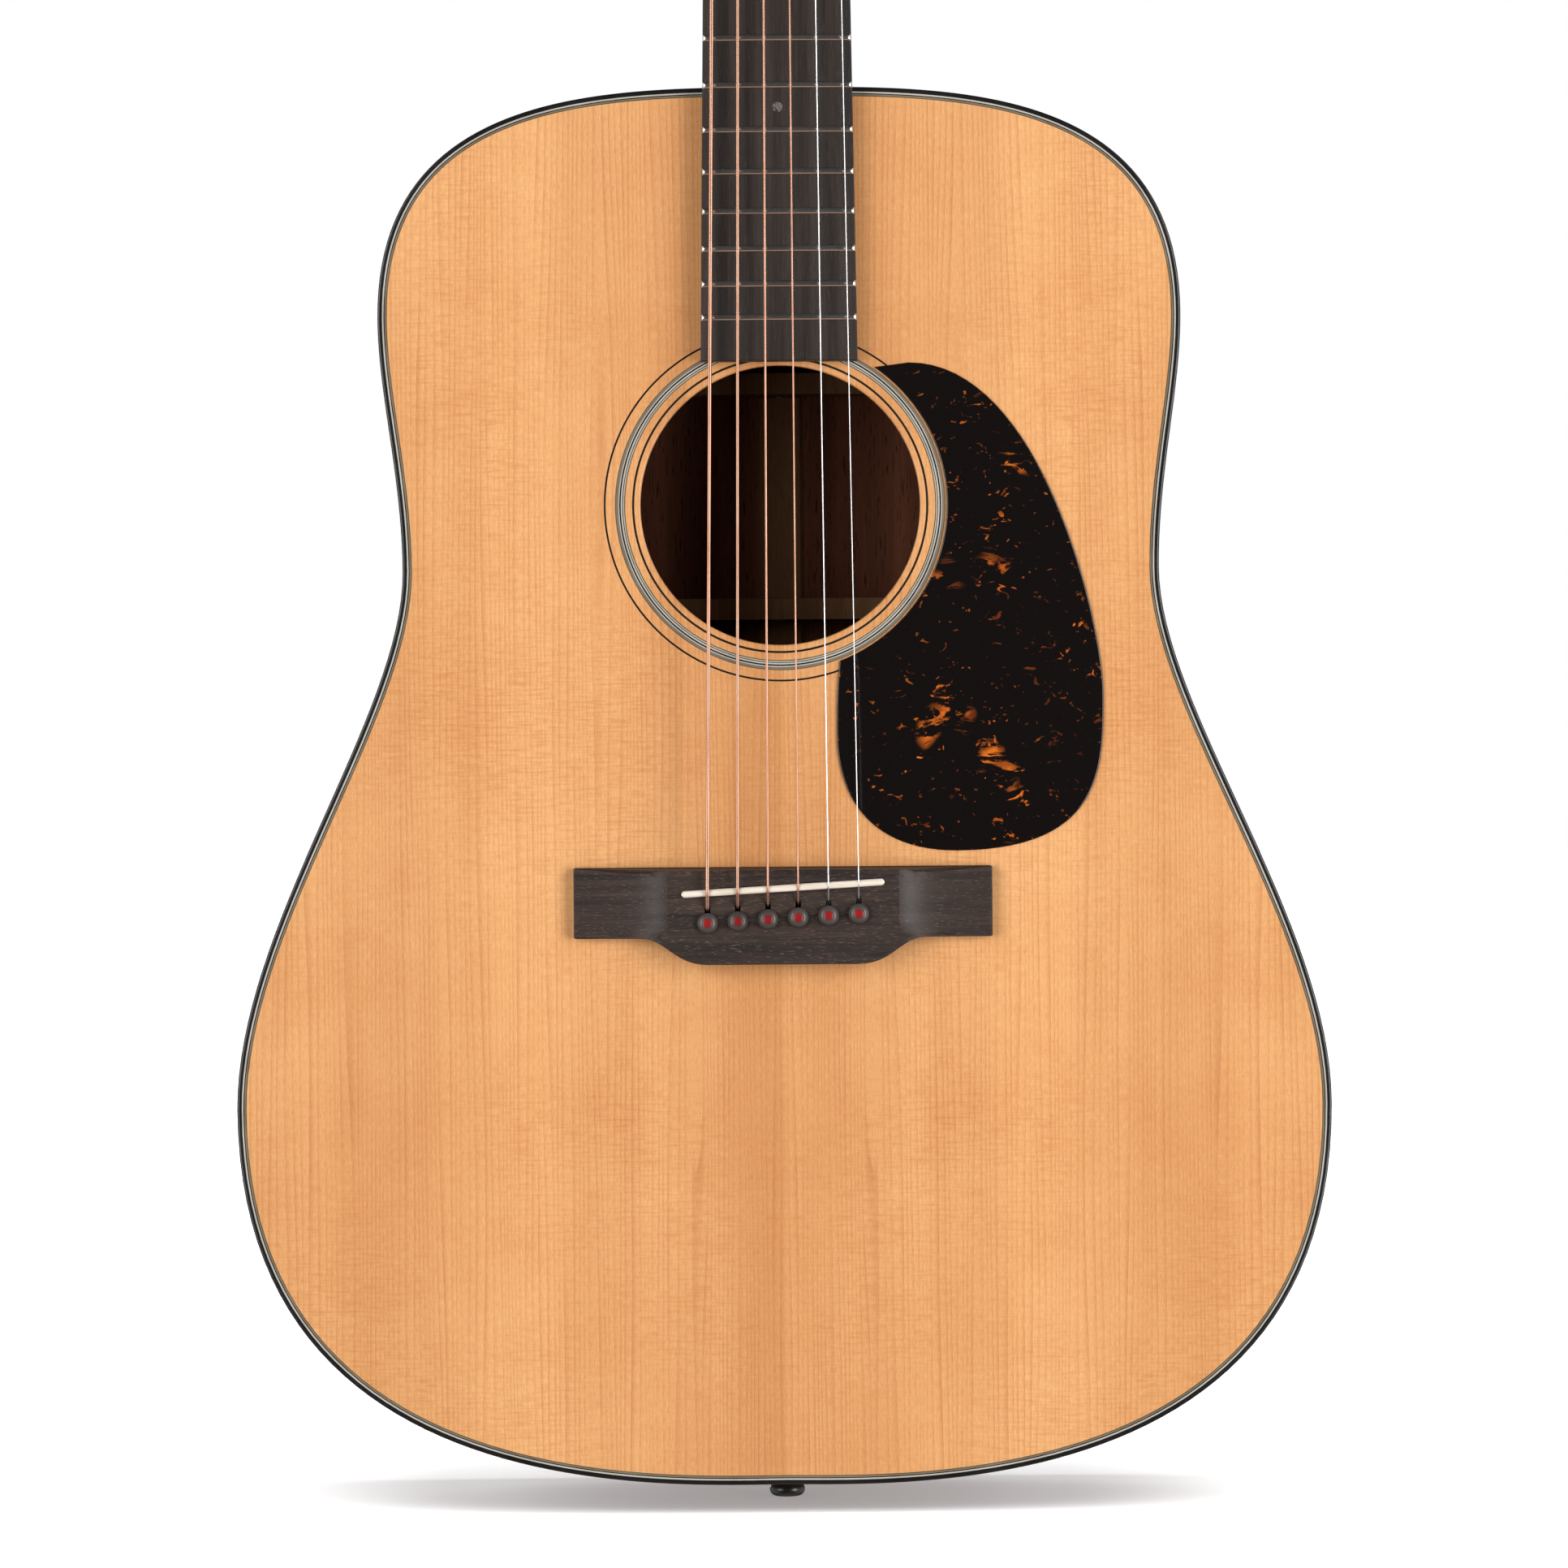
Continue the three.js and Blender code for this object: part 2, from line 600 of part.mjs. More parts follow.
// The headstock's plan above the flare: straight splayed sides and a low rounded crown.
function headPlan(low) {
  const crown = HEAD.length;
  const shape = new THREE.Shape().moveTo(-headHalf(low), low);
  shape.lineTo(headHalf(low), low);
  shape.lineTo(headHalf(crown - 10), crown - 10);
  shape.quadraticCurveTo(HEAD.highHalf, crown - 3, HEAD.highHalf - 7, crown - 2.5);
  shape.quadraticCurveTo(14, crown - 2, 0, crown);
  shape.quadraticCurveTo(-14, crown - 2, -HEAD.highHalf + 7, crown - 2.5);
  shape.quadraticCurveTo(-HEAD.highHalf, crown - 3, -headHalf(crown - 10), crown - 10);
  return shape;
}

function postPlaces() {
  const places = [];
  POST_STATIONS.forEach((along, index) => {
    const x = headHalf(along) - POST_FROM_EDGE;
    const winding = WINDING.depths[index];
    places.push({ string: 6 - index, side: -1, x, along, winding });
    places.push({ string: 1 + index, side: 1, x, along, winding });
  });
  return places;
}

function postHoles(yFront, yBack) {
  const radius = 4;
  return postPlaces().map(({ side, x, along }) => {
    const hole = turned([[0, yFront], [radius, yFront], [radius, yBack], [0, yBack]], 10);
    return hole.translate(side * x, 0, along);
  });
}

function intoHead(geometry) {
  return geometry.rotateX(-HEAD_LEAN).translate(head.position.x, head.position.y, head.position.z);
}

function makeNeck() {
  const slabs = intoHead(cut(slab(headPlan(HEAD.low - 0.5), 0, HEAD.thick, 5), ...postHoles(-1, 20)));
  const tenon = box(
    [-TENON.half, TENON.half],
    [TENON.front, TENON.back],
    [BODY_LENGTH - TENON.deep, BODY_LENGTH + 8],
  );
  const whole = joined(neckShaft(), neckHeel(), slabs, tenon);
  const channelHalf = ROD.half + FIT_GAP;
  const channel = box(
    [-channelHalf, channelHalf],
    [ROD.front - FIT_GAP, ROD.back + FIT_GAP],
    [BODY_LENGTH - 30, NUT_Z - 12],
  );
  add('neck', cut(whole, channel), MAHOGANY);
}

function makeHeadplate() {
  const low = 0.8;
  const nutHalf = NUT_WIDE / 2;
  const plan = new THREE.Shape().moveTo(-nutHalf, low);
  plan.lineTo(nutHalf, low);
  plan.bezierCurveTo(23.5, 9, 28, 16, headHalf(HEAD.low), HEAD.low);
  const crown = headPlan(HEAD.low).getPoints(5);
  crown.slice(2).forEach((point) => plan.lineTo(point.x, point.y));
  plan.lineTo(-headHalf(HEAD.low), HEAD.low);
  plan.bezierCurveTo(-28, 16, -23.5, 9, -nutHalf, low);
  add('headplate', cut(slab(plan, -HEAD.plate, -FIT_GAP, 5), ...postHoles(-5, 5)), ROSEWOOD, head);
}

// A slice across the fingerboard or a fret: flat underneath, cambered on top.
function camberedSection(half, under, over, z, steps) {
  const points = [new THREE.Vector3(-half, under, z), new THREE.Vector3(half, under, z)];
  for (let i = 0; i <= steps; i++) {
    const x = half * (1 - (2 * i) / steps);
    points.push(new THREE.Vector3(x, over + camber(x), z));
  }
  return points.reverse();
}

function fretZ(number) {
  return NUT_Z - SCALE_LENGTH * (1 - 2 ** (-number / 12));
}

function makeFingerboard() {
  const ends = [BOARD_END_Z, NUT_Z];
  const board = loft(ends.map((z) => camberedSection(boardHalf(z), 0, -BOARD_THICK, z, 4)));
  let whole = solid(board);
  for (let number = 1; number <= FRET_COUNT; number++) {
    const z = fretZ(number);
    const half = boardHalf(z) - 0.2;
    const crown = -BOARD_THICK - FRET_TALL;
    const foot = -BOARD_THICK + 0.1;
    const fret = loft([
      camberedSection(half, -4, foot, z - FRET_WIDE / 2, 2),
      camberedSection(half, -4, crown, z, 2),
      camberedSection(half, -4, foot, z + FRET_WIDE / 2, 2),
    ]);
    whole = whole.add(solid(fret));
  }
  add('fingerboard', geometryOf(whole), EBONY);
}

function nutString(index) {
  const x = (index - (STRINGS.length - 1) / 2) * NUT_PITCH;
  const { radius } = STRINGS[index];
  const y = -BOARD_THICK - FRET_TALL - STRING_OVER_FIRST_FRET + camber(x) - radius;
  return new THREE.Vector3(x, y, NUT_Z);
}

function makeNut() {
  const top = NUT_TALL;
  const profile = polygon([
    [0, NUT_Z], [0, NUT_Z + NUT_THICK], [-top + 1.6, NUT_Z + NUT_THICK],
    [-top, NUT_Z + NUT_THICK - 2.4], [-top, NUT_Z],
  ]);
  const settings = { depth: NUT_WIDE, bevelEnabled: false };
  const blank = new THREE.ExtrudeGeometry(profile, settings);
  const sideways = new THREE.Matrix4().makeBasis(
    new THREE.Vector3(0, 1, 0),
    new THREE.Vector3(0, 0, 1),
    new THREE.Vector3(1, 0, 0),
  );
  blank.applyMatrix4(sideways).translate(-NUT_WIDE / 2, 0, 0);
  const slots = STRINGS.map(({ radius }, index) => {
    const { x, y } = nutString(index);
    const half = radius + 0.65;
    return box([x - half, x + half], [-20, y + radius + 2], [NUT_Z - 1, NUT_Z + NUT_THICK + 1]);
  });
  add('nut', cut(blank, ...slots), BONE);
}

function makeTrussRod() {
  const nutEnd = NECK_BLOCK.low - 4;
  const rod = box([-ROD.half, ROD.half], [ROD.front, ROD.back], [nutEnd, NUT_Z - 13]);
  const middle = (ROD.front + ROD.back) / 2;
  const thread = turned([[0, 0], [2.5, 0], [2.5, 13], [0, 13]], 10).rotateX(-Math.PI / 2);
  thread.translate(0, middle, nutEnd + 1);
  add('truss_rod', joined(rod, thread), STEEL);

  // Threaded on one side of a web, with a key socket on the other.
  const profile = [
    [0, 0], [2.9, 0], [2.9, -11.5], [4.3, -11.5], [4.3, 6], [2.2, 6], [2.2, 1.5], [0, 1.5],
  ];
  const mesh = add('truss_rod_nut', turned(profile, 12).rotateX(-Math.PI / 2), STEEL);
  mesh.position.set(0, middle, nutEnd - 12.3);
}

// ---------------------------------------------------------------- strings

// A chain of straight runs whose corners are its only points.
class Chain extends THREE.Curve {
  constructor(corners) {
    super();
    this.corners = corners;
  }

  getPoint(share, target = new THREE.Vector3()) {
    const place = share * (this.corners.length - 1);
    const index = Math.min(Math.round(place), this.corners.length - 1);
    return target.copy(this.corners[index]);
  }

  getPointAt(share, target) {
    return this.getPoint(share, target);
  }

  getTangent(share, target = new THREE.Vector3()) {
    const last = this.corners.length - 1;
    const index = Math.round(share * last);
    const before = this.corners[Math.max(index - 1, 0)];
    const after = this.corners[Math.min(index + 1, last)];
    const here = this.corners[index];
    const arriving = here.clone().sub(before).normalize();
    const leaving = after.clone().sub(here).normalize();
    return target.copy(arriving.add(leaving).normalize());
  }

  getTangentAt(share, target) {
    return this.getTangent(share, target);
  }
}

function makeStrings() {
  const places = postPlaces();
  STRINGS.forEach(({ number, radius }, index) => {
    const [pinX, pinZ] = pinPlace(index);
    const behindPin = pinZ + 4.9;
    const saddleZ = SADDLE.z + SADDLE.slant * pinX;
    const saddleY = -SADDLE.tall + camber(pinX) - radius - 0.05;
    const place = places.find(({ string }) => string === number);
    const away = WINDING.radius + radius + FIT_GAP;
    const windingY = HEAD.thick + FIT_GAP - place.winding;
    const post = headPoint(place.side * (place.x - away), windingY, place.along);
    const corners = [
      new THREE.Vector3(pinX, 7.5, behindPin),
      new THREE.Vector3(pinX, -BRIDGE.tall - 0.3, behindPin),
      new THREE.Vector3(pinX, saddleY, saddleZ - SADDLE.thick / 2 - radius / 2),
      nutString(index),
      post,
    ];
    const points = [];
    for (let i = 0; i < STRING_SIDES; i++) {
      const angle = (2 * Math.PI * i) / STRING_SIDES;
      points.push([Math.cos(angle) * radius, Math.sin(angle) * radius]);
    }
    const extrudePath = new Chain(corners);
    const wire = new THREE.ExtrudeGeometry(polygon(points), { steps: corners.length - 1, extrudePath });
    const ball = turned([[0, 6.6], [1.6, 6.6], [1.9, 8.5], [1.6, 10.2], [0, 10.2]], 8);
    ball.translate(pinX, 0, behindPin);
    add(`string_${number}`, joined(wire, ball), radius > 0.3 ? BRONZE : STEEL);
  });
}

// ---------------------------------------------------------------- tuners

const GEAR = { teeth: 14, pitch: 5.04, tip: 5.5, root: 4.05, low: 3.1, high: 6.1, lead: 8.2 };
// Half of the angle that a tooth covers at its root and at its tip.
const TOOTH = { root: 0.152, tip: 0.078 };
const WORM = { pitch: 2.5, crest: 2.95, core: 1.75, half: 3, turnsPerStep: 0.125 };
const WORM_Y = (GEAR.low + GEAR.high) / 2;
const WORM_Z = GEAR.pitch + WORM.pitch;
const WORM_LEAD = (2 * Math.PI * GEAR.pitch) / GEAR.teeth;
const PLATE = { half: 7.5, low: -9.5, high: 12.5, thick: 1.2 };
const EAR = { inner: 3.5, outer: 4.7, low: 4.9, high: 10.4, tall: 7.4 };
const SHAFT_RADIUS = 1.5;
const POST_RADIUS = 3;
const HUB_RADIUS = 3.6;
const BEARING_GAP = 0.35;

function tunerPlate() {
  const { half, low, high, thick } = PLATE;
  const corner = 3;
  const plan = new THREE.Shape().moveTo(-half + corner, low);
  plan.lineTo(half - corner, low);
  plan.quadraticCurveTo(half, low, half, low + corner);
  plan.lineTo(half, high - corner);
  plan.quadraticCurveTo(half, high, half - corner, high);
  plan.lineTo(-half + corner, high);
  plan.quadraticCurveTo(-half, high, -half, high - corner);
  plan.lineTo(-half, low + corner);
  plan.quadraticCurveTo(-half, low, -half + corner, low);
  const base = slab(plan, 0, thick, 1);
  const ears = [-1, 1].map((side) => {
    const reach = [side * EAR.inner, side * EAR.outer].sort((a, b) => a - b);
    return box(reach, [thick / 2, EAR.tall], [EAR.low, EAR.high]);
  });
  const bearing = SHAFT_RADIUS + BEARING_GAP;
  const shaftHole = turned([[0, -10], [bearing, -10], [bearing, 10], [0, 10]], 8).rotateZ(Math.PI / 2);
  shaftHole.translate(0, WORM_Y, WORM_Z);
  const postHole = turned([[0, -5], [HUB_RADIUS, -5], [HUB_RADIUS, 5], [0, 5]], 10);
  return cut(joined(base, ...ears), shaftHole, postHole);
}

// The gear's outline has a gap at the top, where the worm's thread sits, and a slow twist.
function tunerGear() {
  const { teeth, tip, root, low, high } = GEAR;
  const flanks = [[root, -TOOTH.root], [tip, -TOOTH.tip], [tip, TOOTH.tip], [root, TOOTH.root]];
  const points = [];
  for (let tooth = 0; tooth < teeth; tooth++) {
    const middle = Math.PI / 2 + (2 * Math.PI * (tooth + 0.5)) / teeth;
    for (const [radius, turn] of flanks) {
      points.push([radius * Math.cos(middle + turn), radius * Math.sin(middle + turn)]);
    }
  }
  const gear = slab(polygon(points), low, high);
  const position = gear.attributes.position;
  const twistPerMillimetre = Math.tan(THREE.MathUtils.degToRad(GEAR.lead)) / GEAR.pitch;
  for (let i = 0; i < position.count; i++) {
    const turn = (position.getY(i) - WORM_Y) * twistPerMillimetre;
    const [x, z] = [position.getX(i), position.getZ(i)];
    position.setX(i, x * Math.cos(turn) + z * Math.sin(turn));
    position.setZ(i, z * Math.cos(turn) - x * Math.sin(turn));
  }
  return gear;
}

function tunerPost(winding) {
  const frontEnd = -HEAD.thick - HEAD.plate - 12;
  const coilFront = -winding - WINDING.tall / 2;
  const coilBack = -winding + WINDING.tall / 2;
  const shaft = turned([
    [0, frontEnd], [2.5, frontEnd], [POST_RADIUS, frontEnd + 0.8], [POST_RADIUS, coilFront],
    [WINDING.radius, coilFront], [WINDING.radius, coilBack], [POST_RADIUS, coilBack], [POST_RADIUS, 1.5],
    [HUB_RADIUS, 1.5], [HUB_RADIUS, GEAR.high + 1], [2.6, GEAR.high + 1.6], [0, GEAR.high + 1.6],
  ], 10);
  return joined(shaft, tunerGear());
}

function wormThread() {
  const sections = [];
  const turns = (2 * WORM.half) / WORM_LEAD;
  const steps = Math.round(turns / WORM.turnsPerStep);
  const profile = [[0.62, 1.3], [0.3, WORM.crest], [-0.3, WORM.crest], [-0.62, 1.3]];
  for (let step = 0; step <= steps; step++) {
    const turn = (step - steps / 2) * WORM.turnsPerStep;
    const angle = 2 * Math.PI * turn;
    const points = profile.map(([across, radius]) => {
      const x = turn * WORM_LEAD + across;
      return new THREE.Vector3(x, Math.sin(angle) * radius, -Math.cos(angle) * radius);
    });
    sections.push(points);
  }
  return loft(sections);
}

function tunerKnob() {
  const end = EAR.outer + 0.9;
  const button = POST_FROM_EDGE + 3;
  const shaft = turned([
    [0, -end], [2.1, -end], [2.1, -EAR.outer - 0.2], [SHAFT_RADIUS, -EAR.outer - 0.2],
    [SHAFT_RADIUS, -WORM.half], [WORM.core, -WORM.half], [WORM.core, WORM.half],
    [SHAFT_RADIUS, WORM.half], [SHAFT_RADIUS, EAR.outer + 0.2], [2.1, EAR.outer + 0.2],
    [2.1, EAR.outer + 1.6], [SHAFT_RADIUS, EAR.outer + 1.6], [SHAFT_RADIUS, button + 2], [0, button + 2],
  ], 8);
  const grip = turned([
    [0, button], [3, button], [8.4, button + 3.4], [9.4, button + 7],
    [8.4, button + 11], [5, button + 13], [0, button + 13.4],
  ], 10).scale(0.52, 1, 1);
  const plain = joined(shaft, grip).rotateZ(-Math.PI / 2);
  return joined(plain, wormThread()).translate(0, WORM_Y, WORM_Z);
}

function makeTuners() {
  const plate = tunerPlate();
  const knob = tunerKnob();
  for (const { string, side, x, along, winding } of postPlaces()) {
    const tuner = new THREE.Group();
    tuner.position.set(side * x, HEAD.thick + FIT_GAP, along);
    tuner.scale.x = side;
    head.add(tuner);
    add(`tuner_plate_${string}`, plate, NICKEL, tuner);
    add(`tuner_post_${string}`, tunerPost(winding), NICKEL, tuner);
    add(`tuner_knob_${string}`, knob, NICKEL, tuner);
  }
}

// ---------------------------------------------------------------- assembly

makePlates();
makeSides();
makeBindings();
makeLinings();
makeBlocks();
makeTopBraces();
makeBackBraces();
makeEndPin();
makePickguard();
makeBridge();
makeSaddle();
makeBridgePins();
makeNeck();
makeHeadplate();
makeFingerboard();
makeNut();
makeTrussRod();
makeStrings();
makeTuners();

export default guitar;
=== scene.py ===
"""The looks of a six-string dreadnought guitar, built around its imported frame.

Lengths in this file are millimetres until a point is placed. The body has a frame of its own:
y = 0 is the face of the soundboard, +y goes into the body, and z = 0 is its tail. The headstock
has a second one, leaned back from the nut, and each tuner a third, on the back of the headstock.
"""

import math

import bmesh
import bpy
import numpy as np
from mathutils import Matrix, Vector
from mathutils.geometry import delaunay_2d_cdt


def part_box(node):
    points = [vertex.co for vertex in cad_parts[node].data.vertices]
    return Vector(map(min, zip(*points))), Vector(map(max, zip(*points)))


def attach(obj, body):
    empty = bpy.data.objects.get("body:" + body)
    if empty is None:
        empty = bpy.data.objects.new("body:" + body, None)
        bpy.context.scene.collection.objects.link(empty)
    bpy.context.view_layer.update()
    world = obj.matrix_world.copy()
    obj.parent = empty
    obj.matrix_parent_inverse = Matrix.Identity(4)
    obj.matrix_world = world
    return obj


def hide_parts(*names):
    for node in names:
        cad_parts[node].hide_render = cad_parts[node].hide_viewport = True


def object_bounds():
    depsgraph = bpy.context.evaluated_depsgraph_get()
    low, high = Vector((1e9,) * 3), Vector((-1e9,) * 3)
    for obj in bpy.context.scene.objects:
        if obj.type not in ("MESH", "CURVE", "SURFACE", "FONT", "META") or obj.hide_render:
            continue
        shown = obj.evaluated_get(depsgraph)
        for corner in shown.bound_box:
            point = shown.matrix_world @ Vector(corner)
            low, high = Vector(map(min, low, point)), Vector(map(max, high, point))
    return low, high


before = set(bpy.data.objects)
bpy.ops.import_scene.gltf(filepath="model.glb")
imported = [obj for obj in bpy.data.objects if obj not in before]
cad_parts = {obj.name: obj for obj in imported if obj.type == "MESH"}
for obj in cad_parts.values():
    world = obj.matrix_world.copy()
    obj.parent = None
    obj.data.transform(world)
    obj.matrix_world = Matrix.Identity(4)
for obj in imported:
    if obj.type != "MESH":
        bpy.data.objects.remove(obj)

CAD_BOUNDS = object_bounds()
MM = 0.001

# ---- dimensions

BODY_LENGTH = 508
# The treble half of the outline, tail to neck: the corners of each curve and its steps.
OUTLINE = [
    (((0, 0), (40.5, 0), (199, -9), (199, 137.5)), 48),
    (((199, 137.5), (199, 204), (137.5, 281), (137.5, 332.5)), 32),
    (((137.5, 332.5), (137.5, 367.5), (146, 397), (146, 425)), 20),
    (((146, 425), (146, 510), (60, 508), (0, 508)), 48),
]
TAIL_DEPTH = 124
BACK_RADIUS = 5040
BACK_INLAY_HALF = 2.6
PLATE_THICK = 2.8
SIDE_THICK = 2.2
BINDING_WIDE = 1.75
BINDING_TALL = 6
BINDING_ROUND = 0.9
# Inset at which each line inside the binding ends, and its colour.
PURFLING = [(2.3, "white"), (2.65, "black"), (3.15, "grey"), (3.5, "olive")]

HOLE_Z = 356
HOLE_RADIUS = 50.8
HOLE_EASE = 0.9
LINE_DEEP = 0.8
# The lines round the soundhole: inner radius, outer radius and colour.
ROSETTE = [
    (53.05, 53.85, "black"),
    (56.35, 56.75, "olive"), (56.75, 57.1, "white"), (57.1, 57.4, "black"), (57.4, 57.95, "white"),
    (57.95, 58.5, "black"), (58.5, 58.85, "white"), (58.85, 59.75, "grey"), (59.75, 60.05, "olive"),
    (63.45, 64.15, "black"),
]

SCALE_LENGTH = 645.2
NUT_Z = BODY_LENGTH + SCALE_LENGTH * (1 - 2 ** (-14 / 12))
NUT_HALF = 22.5
NUT_THICK = 5.5
NUT_TALL = 9.2
BOARD_END_Z = 408
BOARD_END_HALF = 28.5
BOARD_THICK = 6.5
CAMBER_RADIUS = 406
FRET_COUNT = 20
FRET_TALL = 1
FRET_WIDE = 2.4
FRET_ROUND = 1.3
STRING_OVER_FRET = 0.5

BRIDGE_HALF = 76
BRIDGE_TOP_Z = 224.6
WING_Z = 198.9
BELLY_Z = 189.3
BRIDGE_TALL = 9.5
SADDLE_HALF = 36.8
SADDLE_THICK = 2.5
SADDLE_Z = 216.9
SADDLE_SLANT = 0.0565
SADDLE_TALL = 12.3
SADDLE_SEAT = 4.3
PIN_PITCH = 10.96
PIN_Z = 206
PIN_SLOT_REACH = 4.9

# The heel reaches this far up the neck at its cap, and further the nearer it is to the shaft.
HEEL_SHORTEST = 6.7
HEEL_SWEEP = 934

HEAD_LEAN = math.radians(15)
HEAD_LENGTH = 158
HEAD_THICK = 14
HEAD_LOW = 24
POST_STATIONS = (38, 78, 118)
POST_FROM_EDGE = 10.5
POST_RADIUS = 3
COIL_DEPTHS = (20.4, 22, 22)
# The tuners' frames stand this far off the wood.
TUNER_GAP = 0.3

# From the thickest string to the thinnest, left to right: number and radius.
STRINGS = [(6, 0.67), (5, 0.54), (4, 0.42), (3, 0.33), (2, 0.22), (1, 0.17)]
NUT_PITCH = 7.8
WOUND_OVER = 0.3

# ---- the three frames

TOP_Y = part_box("soundboard")[0].y
TAIL_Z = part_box("top_binding")[1].z - BODY_LENGTH * MM
HEAD_Z = NUT_Z + NUT_THICK


def at(x, y, z):
    """A point of the body's frame, placed in the row frame in metres."""
    return Vector((x * MM, TOP_Y + y * MM, TAIL_Z + z * MM))


def lean(x, y, z):
    """A point of the headstock's frame, in the body's frame."""
    back = y * math.cos(HEAD_LEAN) + z * math.sin(HEAD_LEAN)
    up = z * math.cos(HEAD_LEAN) - y * math.sin(HEAD_LEAN)
    return x, back, HEAD_Z + up


def on_head(x, y, z):
    return at(*lean(x, y, z))


def head_half(along):
    """Half the headstock's width above its flare."""
    return 30.5 + 6 * (along - HEAD_LOW) / (HEAD_LENGTH - HEAD_LOW)


def tuner_places():
    """Each tuner's string, side, x and height on the headstock, and the depth of its coil."""
    places = []
    for index, along in enumerate(POST_STATIONS):
        x = head_half(along) - POST_FROM_EDGE
        places.append((6 - index, -1, x, along, COIL_DEPTHS[index]))
        places.append((1 + index, 1, x, along, COIL_DEPTHS[index]))
    return places


def on_tuner(side, post_x, along):
    """Placing in the frame of one tuner, mirrored on the bass side."""
    def place(x, y, z):
        return on_head(side * (post_x + x), HEAD_THICK + TUNER_GAP + y, along + z)
    return place


# ---- curves and loops

def bezier(corners, t):
    """The point and the direction of a cubic curve at t."""
    a, b, c, d = (Vector(corner) for corner in corners)
    s = 1 - t
    point = a * s ** 3 + b * (3 * s * s * t) + c * (3 * s * t * t) + d * t ** 3
    slope = (b - a) * s * s + (c - b) * (2 * s * t) + (d - c) * t * t
    return point, slope.normalized()


def curve(corners, steps):
    """The points of a cubic curve without its last one."""
    return [tuple(bezier(corners, i / steps)[0]) for i in range(steps)]


def half_outline(inset):
    """The treble half of the body's outline, moved in, from tail to neck, as (x, z)."""
    points = []
    for corners, steps in OUTLINE:
        for i in range(steps):
            point, slope = bezier(corners, i / steps)
            points.append((point.x - slope.y * inset, point.y + slope.x * inset))
    return points + [(0, BODY_LENGTH - inset)]


def outline(inset):
    right = half_outline(inset)
    return right + flipped(right[1:-1])


def bass_outline(inset):
    return [(-x, z) for x, z in half_outline(inset)]


def arc(radius, start, end, steps, centre=(0, 0)):
    """Points from one angle to the other, both included."""
    turns = (start + (end - start) * i / steps for i in range(steps + 1))
    return [(centre[0] + radius * math.cos(a), centre[1] + radius * math.sin(a)) for a in turns]


def circle(radius, centre=(0, HOLE_Z), sides=128):
    return arc(radius, 0, 2 * math.pi, sides, centre)[:-1]


def rounding(radius, steps=4):
    """Insets and drops from a face round to its edge, or one point for a sharp corner."""
    if not radius:
        return [(0.0, 0.0)]
    turns = (math.pi / 2 * i / steps for i in range(steps + 1))
    return [(radius * (1 - math.sin(a)), radius * (1 - math.cos(a))) for a in turns]


def flipped(loop):
    """The same points on the other side of the middle, still counter-clockwise."""
    return [(-x, z) for x, z in reversed(loop)]


def at_depth(loop, y):
    """A loop of (x, z) as points at one depth."""
    return [(x, y, z) for x, z in loop]


def offset(loop, distance):
    """A counter-clockwise loop moved inwards, or outwards for a negative distance."""
    moved = []
    for i, corner in enumerate(loop):
        here = Vector(corner)
        arriving = (here - Vector(loop[i - 1])).normalized()
        leaving = (Vector(loop[(i + 1) % len(loop)]) - here).normalized()
        inward = (arriving + leaving).orthogonal().normalized()
        reach = distance / max(inward.dot(arriving.orthogonal()), 0.5)
        moved.append(tuple(here + inward * reach))
    return moved


def smooth(points, steps=5):
    """A finer run through the same points (Catmull-Rom)."""
    run = [Vector(p) for p in points]
    run = [run[0] * 2 - run[1], *run, run[-1] * 2 - run[-2]]
    fine = []
    for a, b, c, d in zip(run, run[1:], run[2:], run[3:]):
        for i in range(steps):
            t = i / steps
            bend = (a * 2 - b * 5 + c * 4 - d) * t * t + (b * 3 - a - c * 3 + d) * t ** 3
            fine.append(tuple((b * 2 + (c - a) * t + bend) / 2))
    return fine + [tuple(points[-1])]


def inside(points, loops):
    """Which of the points lie inside an odd number of the loops."""
    odd = np.zeros(len(points), bool)
    for loop in loops:
        for (x1, z1), (x2, z2) in zip(loop, loop[1:] + loop[:1]):
            if z1 == z2:
                continue
            crosses = (z1 > points[:, 1]) != (z2 > points[:, 1])
            odd ^= crosses & (points[:, 0] < x1 + (points[:, 1] - z1) * (x2 - x1) / (z2 - z1))
    return odd


def grid(low, high, step):
    """Points of a square grid over a rectangle given by two (x, z) corners."""
    xs = np.arange(low[0], high[0], step)
    zs = np.arange(low[1], high[1], step)
    return [(float(x), float(z)) for x in xs for z in zs]


# ---- building meshes

def along_x(a, b, c):
    return c, a, b


def along_y(a, b, c):
    return a, c, b


def along_z(a, b, c):
    return a, b, c


